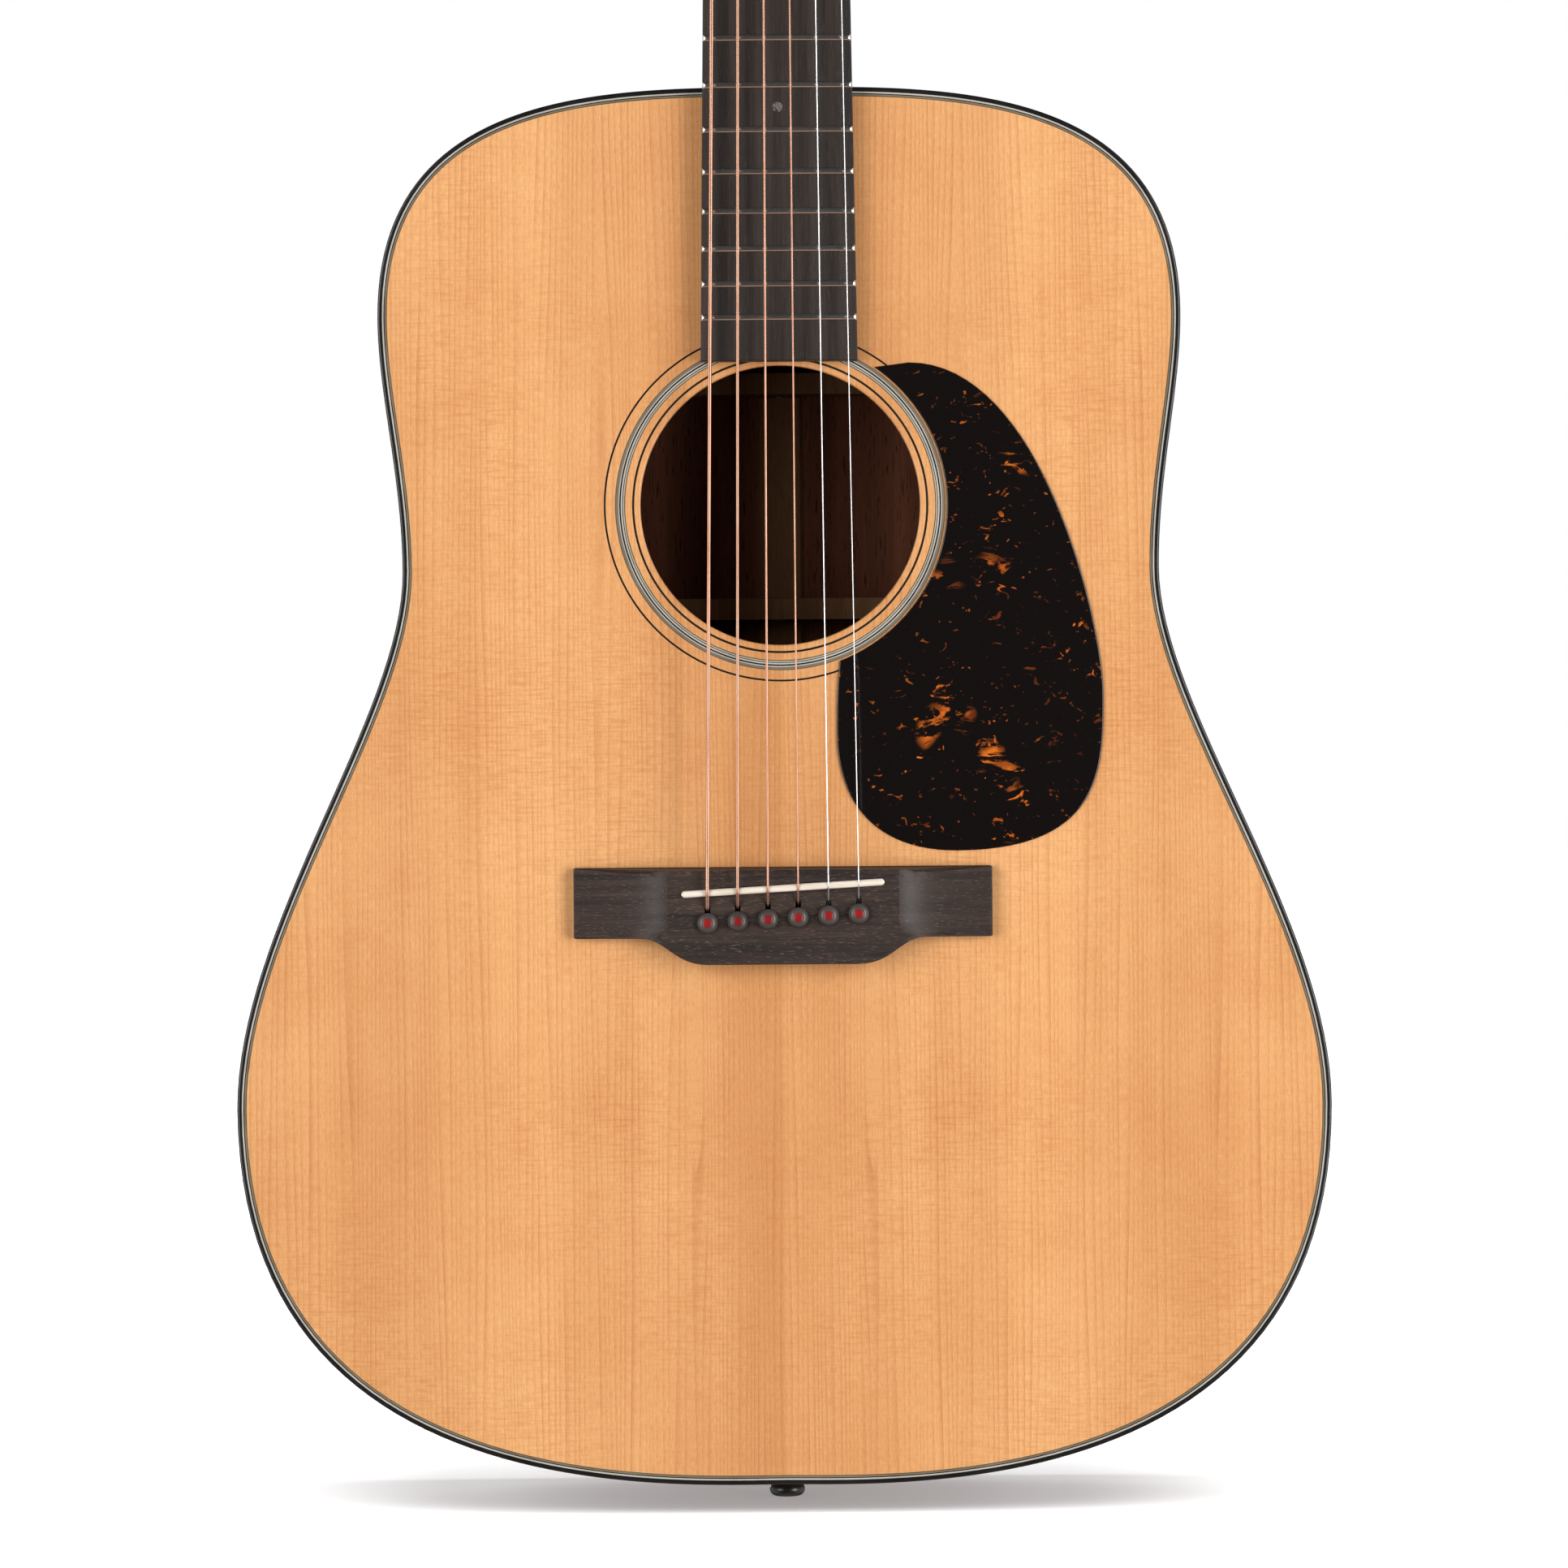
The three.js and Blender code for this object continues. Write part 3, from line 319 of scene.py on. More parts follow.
class Form:
    """Closed bodies gathered point by point, for piece() to make into an object."""

    def __init__(self, place=at):
        self.place = place
        self.points = []
        self.faces = []

    def ring(self, points):
        start = len(self.points)
        self.points += [self.place(*point) for point in points]
        return list(range(start, len(self.points)))

    def skin(self, first, second, closed=True):
        count = len(first)
        for i in range(count if closed else count - 1):
            j = (i + 1) % count
            self.faces.append((first[i], first[j], second[j], second[i]))

    def sleeve(self, sections, closed=True, looped=False):
        """Skins from each section to the next, and from the last to the first if looped."""
        rings = [self.ring(section) for section in sections]
        following = rings[1:] + rings[:1] if looped else rings[1:]
        for first, second in zip(rings, following):
            self.skin(first, second, closed)
        return rings

    def loft(self, sections):
        """A closed body through the sections, capped at both ends."""
        rings = self.sleeve(sections)
        self.faces += [tuple(rings[0]), tuple(rings[-1])]

    def turn(self, profile, centre, along=along_y, sides=32, flatten=1):
        """A turned body: its profile is (radius, distance), from the axis back to it."""
        sections = []
        for radius, distance in profile:
            around = circle(max(radius, 1e-4), (0, 0), sides)
            offsets = [along(a, b * flatten, distance) for a, b in around]
            sections.append([[c + o for c, o in zip(centre, spot)] for spot in offsets])
        self.loft(sections)

    def fill(self, loops, depth, inner=()):
        """Triangles between loops of (x, z), at the depth that a function gives."""
        corners = [Vector(point) for loop in loops for point in loop]
        edges = []
        for loop in loops:
            start = len(edges)
            edges += [(start + i, start + (i + 1) % len(loop)) for i in range(len(loop))]
        corners += [Vector(point) for point in inner]
        vertices, _, triangles, *_ = delaunay_2d_cdt(corners, edges, [], 0, 1e-6)
        flat = np.array([tuple(v) for v in vertices])
        middles = np.array([flat[triangle].mean(axis=0) for triangle in triangles])
        ring = self.ring([(x, depth(x, z), z) for x, z in flat])
        for triangle, kept in zip(triangles, inside(middles, loops)):
            if kept:
                self.faces.append(tuple(ring[i] for i in triangle))

    def tablet(self, loops, front, back, front_round=0, back_round=0, inner=()):
        """A plate between two depths, with its edges rounded; the first loop is its outline."""
        edge = [(inset, front, drop) for inset, drop in rounding(front_round)]
        edge += [(inset, back, -drop) for inset, drop in reversed(rounding(back_round))]
        for loop in loops:
            inward = 1 if loop is loops[0] else -1
            self.sleeve([
                [(x, depth(x, z) + drop, z) for x, z in offset(loop, inward * inset)]
                for inset, depth, drop in edge
            ])
        for radius, depth in ((front_round, front), (back_round, back)):
            moved = [offset(loops[0], radius)] + [offset(loop, -radius) for loop in loops[1:]]
            spots = [spot for spot, kept in zip(inner, self.clear(inner, moved)) if kept]
            self.fill(moved, depth, spots)

    @staticmethod
    def clear(spots, loops, gap=0.7):
        """Which spots lie between the loops, and not right beside one."""
        if not spots:
            return []
        points = np.array(spots)
        kept = inside(points, loops)
        for loop in loops:
            for corner in loop:
                kept &= np.hypot(*(points - corner).T) > gap
        return kept

    def tube(self, path, radius, sides=12):
        """A round wire along a path of points."""
        path = [Vector(point) for point in path]
        side = (path[1] - path[0]).orthogonal().normalized()
        sections = []
        for i, here in enumerate(path):
            ahead = path[min(i + 1, len(path) - 1)] - path[max(i - 1, 0)]
            ahead.normalize()
            side = (side - ahead * side.dot(ahead)).normalized()
            other = ahead.cross(side)
            around = circle(radius, (0, 0), sides)
            sections.append([tuple(here + side * a + other * b) for a, b in around])
        self.loft(sections)


def piece(name, form, material, body="root", stands_for=(), crease=35):
    """Makes the form one smooth object that rides on a body."""
    mesh = bpy.data.meshes.new(name)
    mesh.from_pydata(form.points, [], form.faces)
    graph = bmesh.new()
    graph.from_mesh(mesh)
    bmesh.ops.remove_doubles(graph, verts=graph.verts, dist=1e-6)
    bmesh.ops.dissolve_degenerate(graph, edges=graph.edges, dist=1e-7)
    bmesh.ops.recalc_face_normals(graph, faces=graph.faces)
    graph.to_mesh(mesh)
    graph.free()
    mesh.shade_smooth()
    mesh.set_sharp_from_angle(angle=math.radians(crease))
    mesh.materials.append(material)
    obj = bpy.data.objects.new(name, mesh)
    bpy.context.scene.collection.objects.link(obj)
    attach(obj, body)
    if stands_for:
        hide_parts(*stands_for)
    return obj


def line_inside(obj, material):
    """Gives the faces that look into the body a second material."""
    middle = at(0, TAIL_DEPTH / 2, BODY_LENGTH / 2)
    obj.data.materials.append(material)
    for face in obj.data.polygons:
        if abs(face.normal.z) < 0.999 and face.normal.dot((middle - face.center).normalized()) > 0.2:
            face.material_index = 1


# ---- material building

class Nodes:
    """Short ways to add nodes to a tree and join them."""

    def __init__(self, tree):
        self.nodes = tree.nodes
        self.links = tree.links

    def add(self, kind, inputs, **settings):
        node = self.nodes.new("ShaderNode" + kind)
        for key, value in settings.items():
            setattr(node, key, value)
        for key, value in inputs.items():
            self.feed(node.inputs[key], value)
        return node

    def feed(self, socket, value):
        if isinstance(value, bpy.types.NodeSocket):
            self.links.new(value, socket)
        else:
            socket.default_value = value

    def maths(self, operation, a, b=0.0, c=0.0):
        return self.add("Math", {0: a, 1: b, 2: c}, operation=operation).outputs[0]

    def ramp(self, factor, *stops):
        """A colour or a grey for each stop (place, value)."""
        node = self.add("ValToRGB", {"Fac": factor})
        elements = node.color_ramp.elements
        while len(elements) < len(stops):
            elements.new(0.5)
        for element, (place, value) in zip(elements, stops):
            element.position = place
            element.color = (value,) * 3 + (1,) if isinstance(value, (int, float)) else (*value, 1)
        return node.outputs["Color"]


class Paint(Nodes):
    """One material: a Principled shader and short ways to add what feeds it."""

    def __init__(self, name, **sockets):
        self.material = bpy.data.materials.new(name)
        self.material.use_nodes = True
        super().__init__(self.material.node_tree)
        self.shader = self.nodes["Principled BSDF"]
        for socket, value in sockets.items():
            title = socket.replace("_", " ").title().replace("Ior", "IOR")
            self.shader.inputs[title].default_value = value
        self.spot = self.add("TexCoord", {}).outputs["Object"]

    def mirror(self):
        """Makes both halves alike, as in a bookmatched plate."""
        self.spot = self.add("VectorMath", {0: self.spot}, operation="ABSOLUTE").outputs[0]

    def axis(self, name):
        return self.add("SeparateXYZ", {0: self.spot}).outputs[name]

    def noise(self, stretch, detail=3, rough=0.55, twist=0.0):
        """Noise whose grains are 1/stretch metres long each way."""
        scaled = self.add("VectorMath", {0: self.spot, 1: stretch}, operation="MULTIPLY").outputs[0]
        inputs = {"Vector": scaled, "Scale": 1.0, "Detail": detail, "Roughness": rough, "Distortion": twist}
        return self.add("TexNoise", inputs).outputs["Fac"]

    def mix(self, factor, a, b, blend="MIX"):
        node = self.add("Mix", {"Factor": factor}, data_type="RGBA", blend_type=blend)
        self.feed(node.inputs["A"], a if isinstance(a, bpy.types.NodeSocket) else (*a, 1))
        self.feed(node.inputs["B"], b if isinstance(b, bpy.types.NodeSocket) else (*b, 1))
        return node.outputs["Result"]

    def colour(self, value):
        self.feed(self.shader.inputs["Base Color"], value)

    def roughness(self, factor, low, high):
        between = self.add("MapRange", {"Value": factor, "To Min": low, "To Max": high})
        self.feed(self.shader.inputs["Roughness"], between.outputs[0])

    def bump(self, height, deep, strength=1.0):
        node = self.add("Bump", {"Height": height, "Distance": deep, "Strength": strength})
        self.feed(self.shader.inputs["Normal"], node.outputs[0])


WHITE = (1.0, 1.0, 1.0)
PALE_SPRUCE = (0.86, 0.49, 0.215)
WARM_SPRUCE = (0.68, 0.35, 0.138)
RINGS_PER_METRE = 470.0


def spruce_tone_and_seam_shade(paint, side):
    """Broad bands along the grain, and a painted shade: a warmer, darker strip on the bass side of the
    middle seam.
    """
    bands = paint.ramp(paint.noise((17, 0, 0.9), detail=3), (0.3, WARM_SPRUCE), (0.66, PALE_SPRUCE))
    across_seam = paint.maths("MULTIPLY_ADD", side, 10.0, 0.5)
    # Painted shade: from 25 mm on the bass side of the middle seam up to the seam, the top is painted warmer
    # and darker, as that bookmatched half looks in the light.
    painted_seam_shade = paint.ramp(across_seam, (0.25, 0.0), (0.38, 0.8), (0.49, 1.0), (0.51, 0.0), (0.7, 0.0))
    return paint.mix(painted_seam_shade, bands, WARM_SPRUCE)


def spruce_rings(paint):
    """The dark late wood of each yearly ring, stronger in some places than in others."""
    wander = paint.maths("MULTIPLY", paint.noise((55, 0, 1.6), detail=2), 9.0)
    rings = paint.maths("MULTIPLY_ADD", paint.axis("X"), RINGS_PER_METRE, wander)
    ring = paint.maths("FRACT", rings)
    late = paint.ramp(ring, (0.0, 0.0), (0.5, 0.15), (0.84, 0.75), (0.95, 1.0), (1.0, 0.0))
    uneven = paint.ramp(paint.noise((150, 0, 11), detail=3), (0.3, 0.2), (0.7, 0.85))
    return paint.maths("MULTIPLY", late, uneven)


def spruce_top():
    """Honey-coloured spruce under gloss: fine rings, silk across them, bands of colour, and a painted shade
    beside the seam.
    """
    paint = Paint("spruce_top", coat_weight=0.5, coat_roughness=0.1, specular_ior_level=0.25)
    side = paint.axis("X")
    paint.mirror()
    tone_and_seam_shade = spruce_tone_and_seam_shade(paint, side)
    lines = spruce_rings(paint)
    colour = paint.mix(lines, tone_and_seam_shade, paint.mix(0.5, tone_and_seam_shade, (0.4, 0.1, 0.018)))
    fibre = paint.noise((1900, 0, 330), detail=4, rough=0.75)
    shade = paint.ramp(fibre, (0.28, (0.72, 0.5, 0.36)), (0.68, WHITE))
    colour = paint.mix(0.6, colour, shade, "MULTIPLY")
    silk = paint.ramp(paint.noise((110, 0, 1100), detail=3), (0.45, 0.0), (0.7, 1.0))
    patches = paint.ramp(paint.noise((11, 0, 9), detail=2), (0.4, 0.1), (0.62, 1.0))
    flecks = paint.maths("MULTIPLY", silk, patches)
    colour = paint.mix(paint.maths("MULTIPLY", flecks, 0.42), colour, (0.5, 0.19, 0.055))
    mottle = paint.noise((60, 0, 75), detail=5, rough=0.7)
    cloudy = paint.ramp(mottle, (0.3, (0.86, 0.7, 0.58)), (0.65, WHITE))
    colour = paint.mix(0.3, colour, cloudy, "MULTIPLY")
    aged = paint.ramp(paint.noise((16, 0, 11), detail=2), (0.35, (0.93, 0.87, 0.82)), (0.62, WHITE))
    paint.colour(paint.mix(0.8, colour, aged, "MULTIPLY"))
    paint.roughness(fibre, 0.4, 0.55)
    paint.bump(lines, 0.00004, 0.25)
    return paint.material


def wood(name, light, dark, figure, fibre, pores, mirrored=False, pore_colour=(0.02, 0.01, 0.006),
         rough=(0.35, 0.5), contrast=0.35, **sockets):
    """A plain wood: broad figure, fine fibres and open pores, each with its own stretch."""
    paint = Paint(name, **sockets)
    if mirrored:
        paint.mirror()
    broad = paint.noise(figure, detail=4, rough=0.6, twist=0.4)
    colour = paint.ramp(broad, (0.3, dark), (0.7, light))
    threads = paint.noise(fibre, detail=3, rough=0.65)
    colour = paint.mix(contrast, colour, paint.ramp(threads, (0.25, 0.3), (0.75, 1.0)), "MULTIPLY")
    holes = paint.ramp(paint.noise(pores, detail=1), (0.62, 0.0), (0.7, 1.0))
    paint.colour(paint.mix(paint.maths("MULTIPLY", holes, 0.75), colour, pore_colour))
    paint.roughness(threads, *rough)
    height = paint.maths("SUBTRACT", paint.maths("MULTIPLY", threads, 0.3), holes)
    paint.bump(height, 0.00006, 0.35)
    return paint.material


def plastic(name, light, dark, rough=(0.16, 0.3), **sockets):
    """A moulded or cut plastic strip: faint clouding, and a surface rubbed a little dull."""
    paint = Paint(name, **sockets)
    cloud = paint.noise((60, 60, 60), detail=4)
    paint.colour(paint.ramp(cloud, (0.35, dark), (0.65, light)))
    rubbed = paint.noise((900, 900, 300), detail=3)
    paint.roughness(rubbed, *rough)
    paint.bump(rubbed, 0.00001, 0.3)
    return paint.material


def tortoise():
    """Polished celluloid: nearly black, with small amber flecks and a few ragged streaks."""
    paint = Paint("tortoise", coat_weight=0.4, coat_roughness=0.04, specular_ior_level=0.25)
    where = paint.noise((26, 20, 34), detail=2)
    small = paint.ramp(paint.noise((190, 20, 260), detail=3, twist=1.5), (0.64, 0.0), (0.69, 1.0))
    small = paint.maths("MULTIPLY", small, paint.ramp(where, (0.38, 0.15), (0.6, 1.0)))
    torn = paint.noise((42, 20, 120), detail=5, rough=0.65, twist=1.6)
    ragged = paint.ramp(torn, (0.54, 0.0), (0.59, 1.0))
    ragged = paint.maths("MULTIPLY", ragged, paint.ramp(where, (0.63, 0.0), (0.69, 1.0)))
    amount = paint.maths("MAXIMUM", small, ragged)
    depth = paint.noise((150, 20, 210), detail=3)
    amber = paint.ramp(depth, (0.35, (0.16, 0.03, 0.006)), (0.62, (0.66, 0.15, 0.015)))
    paint.colour(paint.mix(amount, (0.0055, 0.0035, 0.0035), amber))
    paint.roughness(depth, 0.1, 0.18)
    return paint.material


def bone():
    paint = Paint("bone", coat_weight=0.3, coat_roughness=0.1, subsurface_weight=0.05)
    grain = paint.noise((40, 900, 900), detail=3)
    paint.colour(paint.ramp(grain, (0.3, (0.72, 0.6, 0.48)), (0.65, (0.86, 0.77, 0.66))))
    paint.roughness(grain, 0.28, 0.42)
    paint.bump(grain, 0.00002, 0.3)
    return paint.material


def pearl():
    """Abalone dot: grey-green plates that shift across a few millimetres."""
    paint = Paint("pearl", roughness=0.2, coat_weight=0.6)
    plates = paint.noise((420, 300, 420), detail=2, twist=2.0)
    paint.colour(paint.ramp(
        plates, (0.38, (0.05, 0.045, 0.042)), (0.5, (0.17, 0.14, 0.13)), (0.6, (0.24, 0.2, 0.19)),
        (0.7, (0.12, 0.13, 0.13)),
    ))
    return paint.material


def metal(name, light, dark, rough, brush=(500, 500, 500), bump=0.2):
    """Plated or drawn metal, with smudges that change its shine."""
    paint = Paint(name, metallic=1.0)
    smudge = paint.noise((45, 45, 45), detail=4)
    paint.colour(paint.ramp(smudge, (0.35, dark), (0.65, light)))
    lines = paint.noise(brush, detail=3)
    paint.roughness(lines, *rough)
    paint.bump(lines, 0.000008, bump)
    return paint.material


def wound_wire():
    """Bronze wire wound tightly round a core: close rings along the string, with painted shade in the
    grooves between them.
    """
    paint = Paint("wound_bronze", metallic=1.0)
    height = paint.axis("Z")
    rings = paint.maths("SINE", paint.maths("MULTIPLY", height, 2 * math.pi / 0.00042))
    crest = paint.maths("MULTIPLY_ADD", rings, 0.5, 0.5)
    tarnish = paint.noise((20, 20, 60), detail=3)
    bright = paint.ramp(tarnish, (0.3, (0.58, 0.3, 0.2)), (0.7, (0.68, 0.4, 0.29)))
    # Painted shade: the grooves between the turns are painted darker than the crests.
    paint.colour(paint.mix(crest, paint.mix(0.45, bright, (0.3, 0.12, 0.06)), bright))
    paint.roughness(crest, 0.45, 0.3)
    paint.bump(crest, 0.00005, 0.5)
    return paint.material


# ---- the materials

EBONY = {"light": (0.043, 0.029, 0.022), "dark": (0.011, 0.008, 0.007)}
ROSEWOOD = {"light": (0.14, 0.05, 0.026), "dark": (0.035, 0.012, 0.008)}
BACK_GRAIN = {
    "figure": (75, 20, 2.2), "fibre": (1500, 400, 30), "pores": (1700, 900, 110), "mirrored": True,
}
MAHOGANY = {
    "light": (0.26, 0.105, 0.05), "dark": (0.14, 0.05, 0.022),
    "figure": (60, 60, 3), "fibre": (1500, 1500, 40), "pores": (1800, 1800, 130),
}
GLOSS = {"coat_weight": 0.5, "coat_roughness": 0.1}

SPRUCE = spruce_top()
BRACE_SPRUCE = wood(
    "inner_spruce", (0.34, 0.18, 0.09), (0.24, 0.12, 0.055), (90, 90, 4), (1500, 1500, 40),
    (1200, 1200, 60), pore_colour=(0.2, 0.1, 0.045), rough=(0.7, 0.9), specular_ior_level=0.1,
)
BACK_WOOD = wood("rosewood_back", **ROSEWOOD, **BACK_GRAIN, **GLOSS)
SIDE_WOOD = wood(
    "rosewood_side", **ROSEWOOD, figure=(4, 75, 4), fibre=(30, 1500, 30), pores=(90, 1700, 90), **GLOSS,
)
INSIDE_WOOD = wood(
    "rosewood_inside", (0.3, 0.11, 0.06), (0.15, 0.055, 0.032), **BACK_GRAIN, rough=(0.7, 0.9),
    specular_ior_level=0.1,
)
NECK_WOOD = wood("mahogany", **MAHOGANY, rough=(0.32, 0.45), coat_weight=0.3, coat_roughness=0.2)
BARE_MAHOGANY = wood("bare_mahogany", **MAHOGANY, rough=(0.6, 0.8))
MAPLE = wood(
    "maple", (0.6, 0.42, 0.24), (0.5, 0.33, 0.18), (60, 40, 8), (1300, 900, 60), (1500, 900, 160),
    pore_colour=(0.36, 0.2, 0.1), rough=(0.5, 0.7),
)
BOARD_EBONY = wood(
    "ebony_board", **EBONY, figure=(170, 60, 7), fibre=(2200, 900, 45), pores=(2200, 900, 190),
    rough=(0.38, 0.52), contrast=0.5,
)
BRIDGE_EBONY = wood(
    "ebony_bridge", (0.06, 0.034, 0.024), (0.018, 0.0115, 0.009), (14, 90, 330), (60, 900, 2200),
    (420, 900, 2600), pore_colour=(0.1, 0.065, 0.047), rough=(0.46, 0.6), contrast=0.75,
    specular_ior_level=0.4,
)
BLACK_EDGE = plastic("black_binding", (0.012, 0.011, 0.011), (0.006,) * 3, rough=(0.22, 0.36))
LINES = {
    "white": plastic("white_line", (0.52, 0.48, 0.42), (0.42, 0.39, 0.33), **GLOSS),
    "black": plastic("black_line", (0.02, 0.018, 0.014), (0.01, 0.009, 0.007), **GLOSS),
    "olive": plastic("olive_line", (0.13, 0.1, 0.05), (0.09, 0.07, 0.035), **GLOSS),
    "grey": plastic("grey_line", (0.21, 0.175, 0.135), (0.16, 0.13, 0.1), **GLOSS),
}
TORTOISE = tortoise()
BONE = bone()
PEARL = pearl()
PIN_BLACK = plastic("pin_plastic", (0.075, 0.062, 0.057), (0.05, 0.042, 0.039), rough=(0.28, 0.4))
PIN_RED = plastic("pin_dot", (0.29, 0.01, 0.01), (0.2, 0.008, 0.008), rough=(0.2, 0.35))
NICKEL = metal("nickel", (0.82, 0.81, 0.79), (0.7, 0.69, 0.67), (0.12, 0.26))
FRET_METAL = metal("fret_metal", (0.8, 0.79, 0.76), (0.66, 0.65, 0.62), (0.14, 0.3), (60, 900, 900))
BRONZE = wound_wire()
STEEL = metal("plain_steel", (0.85, 0.86, 0.88), (0.7, 0.71, 0.73), (0.15, 0.3), (400, 400, 40))
ROD_STEEL = metal("rod_steel", (0.5, 0.5, 0.52), (0.36, 0.36, 0.37), (0.3, 0.5))


# ---- body

def back_depth(x, z):
    """Depth of the back's outer face, a shallow dome."""
    return TAIL_DEPTH - (x * x + z * z) / (2 * BACK_RADIUS)


def level(depth):
    """A flat face, as a depth for every (x, z)."""
    return lambda x, z: depth


def behind(above):
    """The back's dome, or a face that lies above it, as a depth for every (x, z)."""
    return lambda x, z: back_depth(x, z) - above


def moulding(form, profile, path=outline):
    """Carries a closed profile of (inset, depth) round the body, or along one side of it."""
    closed = path is outline
    sections = [[(x, depth(x, z), z) for x, z in path(inset)] for inset, depth in profile]
    strips = form.sleeve(sections, closed, looped=True)
    if not closed:
        form.faces += [tuple(strip[0] for strip in strips), tuple(strip[-1] for strip in strips)]


def rounded_edge(depth):
    """The profile of a binding whose outer corner is at a depth that counts inwards."""
    corner = arc(BINDING_ROUND, math.pi * 1.5, math.pi, 5, (BINDING_ROUND, BINDING_ROUND))
    points = [(BINDING_WIDE, 0), *corner, (0, BINDING_TALL), (BINDING_WIDE, BINDING_TALL)]
    return [(inset, depth(inward)) for inset, inward in points]


def pin_places():
    """The bridge pins' places, in a line as slanted as the saddle."""
    middle = (len(STRINGS) - 1) / 2
    shifts = [(i - middle) * PIN_PITCH for i in range(len(STRINGS))]
    return [(x, PIN_Z + SADDLE_SLANT * x) for x in shifts]


def pin_hole(x, z):
    """A bridge pin's hole with the slot for its string above it, counter-clockwise."""
    radius = 3
    slot = 1
    open_at = math.acos(slot / radius)
    around = arc(radius, math.pi - open_at, 2 * math.pi + open_at, 22, (x, z))
    return around + arc(slot, 0, math.pi, 6, (x, z + PIN_SLOT_REACH))


def make_soundboard():
    """One plate with its soundhole, its pin holes and the grooves that take the rosette."""
    form = Form()
    edge = outline(PURFLING[-1][0])
    holes = [pin_hole(x, z) for x, z in pin_places()]
    form.fill([edge, circle(ROSETTE[-1][1]), *holes], level(0))
    form.fill([edge, circle(HOLE_RADIUS), *holes], level(PLATE_THICK))
    steps = []
    for low, high in (ROSETTE[-1][:2], (ROSETTE[1][0], ROSETTE[-2][1]), ROSETTE[0][:2]):
        steps += [(high, 0), (high, LINE_DEEP), (low, LINE_DEEP), (low, 0)]
    steps += arc(HOLE_EASE, math.pi * 1.5, math.pi, 5, (HOLE_RADIUS + HOLE_EASE, HOLE_EASE))
    steps += [(HOLE_RADIUS, PLATE_THICK)]
    form.sleeve([at_depth(circle(radius), y) for radius, y in steps])
    for loop in [edge, *holes]:
        form.sleeve([at_depth(loop, y) for y in (0, PLATE_THICK)])
    piece("spruce_plate", form, SPRUCE, stands_for=["soundboard"], crease=30)


def make_rosette():
    for colour, material in LINES.items():
        form = Form()
        for inner, outer, name in ROSETTE:
            if name == colour:
                corners = ((inner, 0), (outer, 0), (outer, LINE_DEEP), (inner, LINE_DEEP))
                form.sleeve([at_depth(circle(radius), y) for radius, y in corners], looped=True)
        stands_for = ["rosette"] if colour == "black" else []
        piece(f"rosette_{colour}", form, material, stands_for=stands_for)


def make_purfling(name, low, high, depth, colour):
    """A line let into the edge of a plate, from one inset to another."""
    deep = 2
    form = Form()
    moulding(form, [(low, depth(0)), (high, depth(0)), (high, depth(deep)), (low, depth(deep))])
    piece(name, form, LINES[colour])


def make_bindings():
    for side, depth in (("top", level), ("back", behind)):
        form = Form()
        moulding(form, rounded_edge(depth))
        name = f"{side}_binding"
        piece(f"{name}_strip", form, BLACK_EDGE, stands_for=[name])
    edge = BINDING_WIDE
    for number, (inset, colour) in enumerate(PURFLING, 1):
        make_purfling(f"purfling_{number}_{colour}", edge, inset, level, colour)
        edge = inset
    make_purfling("back_purfling", BINDING_WIDE, PURFLING[0][0], behind, "white")


def make_sides():
    profile = [
        (0, level(BINDING_TALL)), (SIDE_THICK, level(BINDING_TALL)),
        (SIDE_THICK, behind(BINDING_TALL)), (0, behind(BINDING_TALL)),
    ]
    for name, path in (("side_treble", half_outline), ("side_bass", bass_outline)):
        form = Form()
        moulding(form, profile, path)
        line_inside(piece(f"{name}_shell", form, SIDE_WOOD, stands_for=[name]), INSIDE_WOOD)


def make_back():
    """The two bookmatched plates, which leave room for the inlay between them."""
    edge = PURFLING[0][0]
    form = Form()
    for side in (-1, 1):
        half = [point for point in half_outline(edge) if point[0] > BACK_INLAY_HALF + 0.5]
        middle = np.linspace(BODY_LENGTH - edge - 0.1, edge + 0.1, 50)
        loop = half + [(BACK_INLAY_HALF, float(z)) for z in middle]
        low = 0
        if side < 0:
            loop = flipped(loop)
            low = -200
        inner = grid((low, 0), (low + 200, BODY_LENGTH), 14)
        form.tablet([loop], behind(PLATE_THICK), behind(0), inner=inner)
    line_inside(piece("back_plates", form, BACK_WOOD, stands_for=["back"]), INSIDE_WOOD)


def make_back_inlay():
    """A white line with a black one on each side of it, between the plates of the back."""
    edge = PURFLING[0][0] + 0.1
    line = 0.9
    for name, colour, spans in (
        ("line", "white", [(-line, line)]),
        ("edges", "black", [(-BACK_INLAY_HALF, -line), (line, BACK_INLAY_HALF)]),
    ):
        form = Form()
        for left, right in spans:
            corners = ((left, 0), (right, 0), (right, PLATE_THICK), (left, PLATE_THICK))
            heights = np.linspace(edge, BODY_LENGTH - edge, 40)
            form.loft([[(x, back_depth(x, z) - y, z) for x, y in corners] for z in heights])
        piece(f"back_inlay_{name}", form, LINES[colour])


def make_inside_strip():
    """The strip that covers the back's seam inside, cut wherever a brace crosses it."""
    ends = [30]
    for brace, half in ((95, 9), (205, 9), (321, 4), (406, 4)):
        ends += [brace - half, brace + half]
    ends += [455]
    form = Form()
    for low, high in zip(ends[::2], ends[1::2]):
        sections = []
        for z in np.linspace(low + 0.5, high - 0.5, 12):
            y = back_depth(0, z) - PLATE_THICK
            sections.append([(-9, y - 0.05, z), (9, y - 0.05, z), (7.5, y - 2, z), (-7.5, y - 2, z)])
        form.loft(sections)
    piece("back_strip_inside", form, BRACE_SPRUCE)


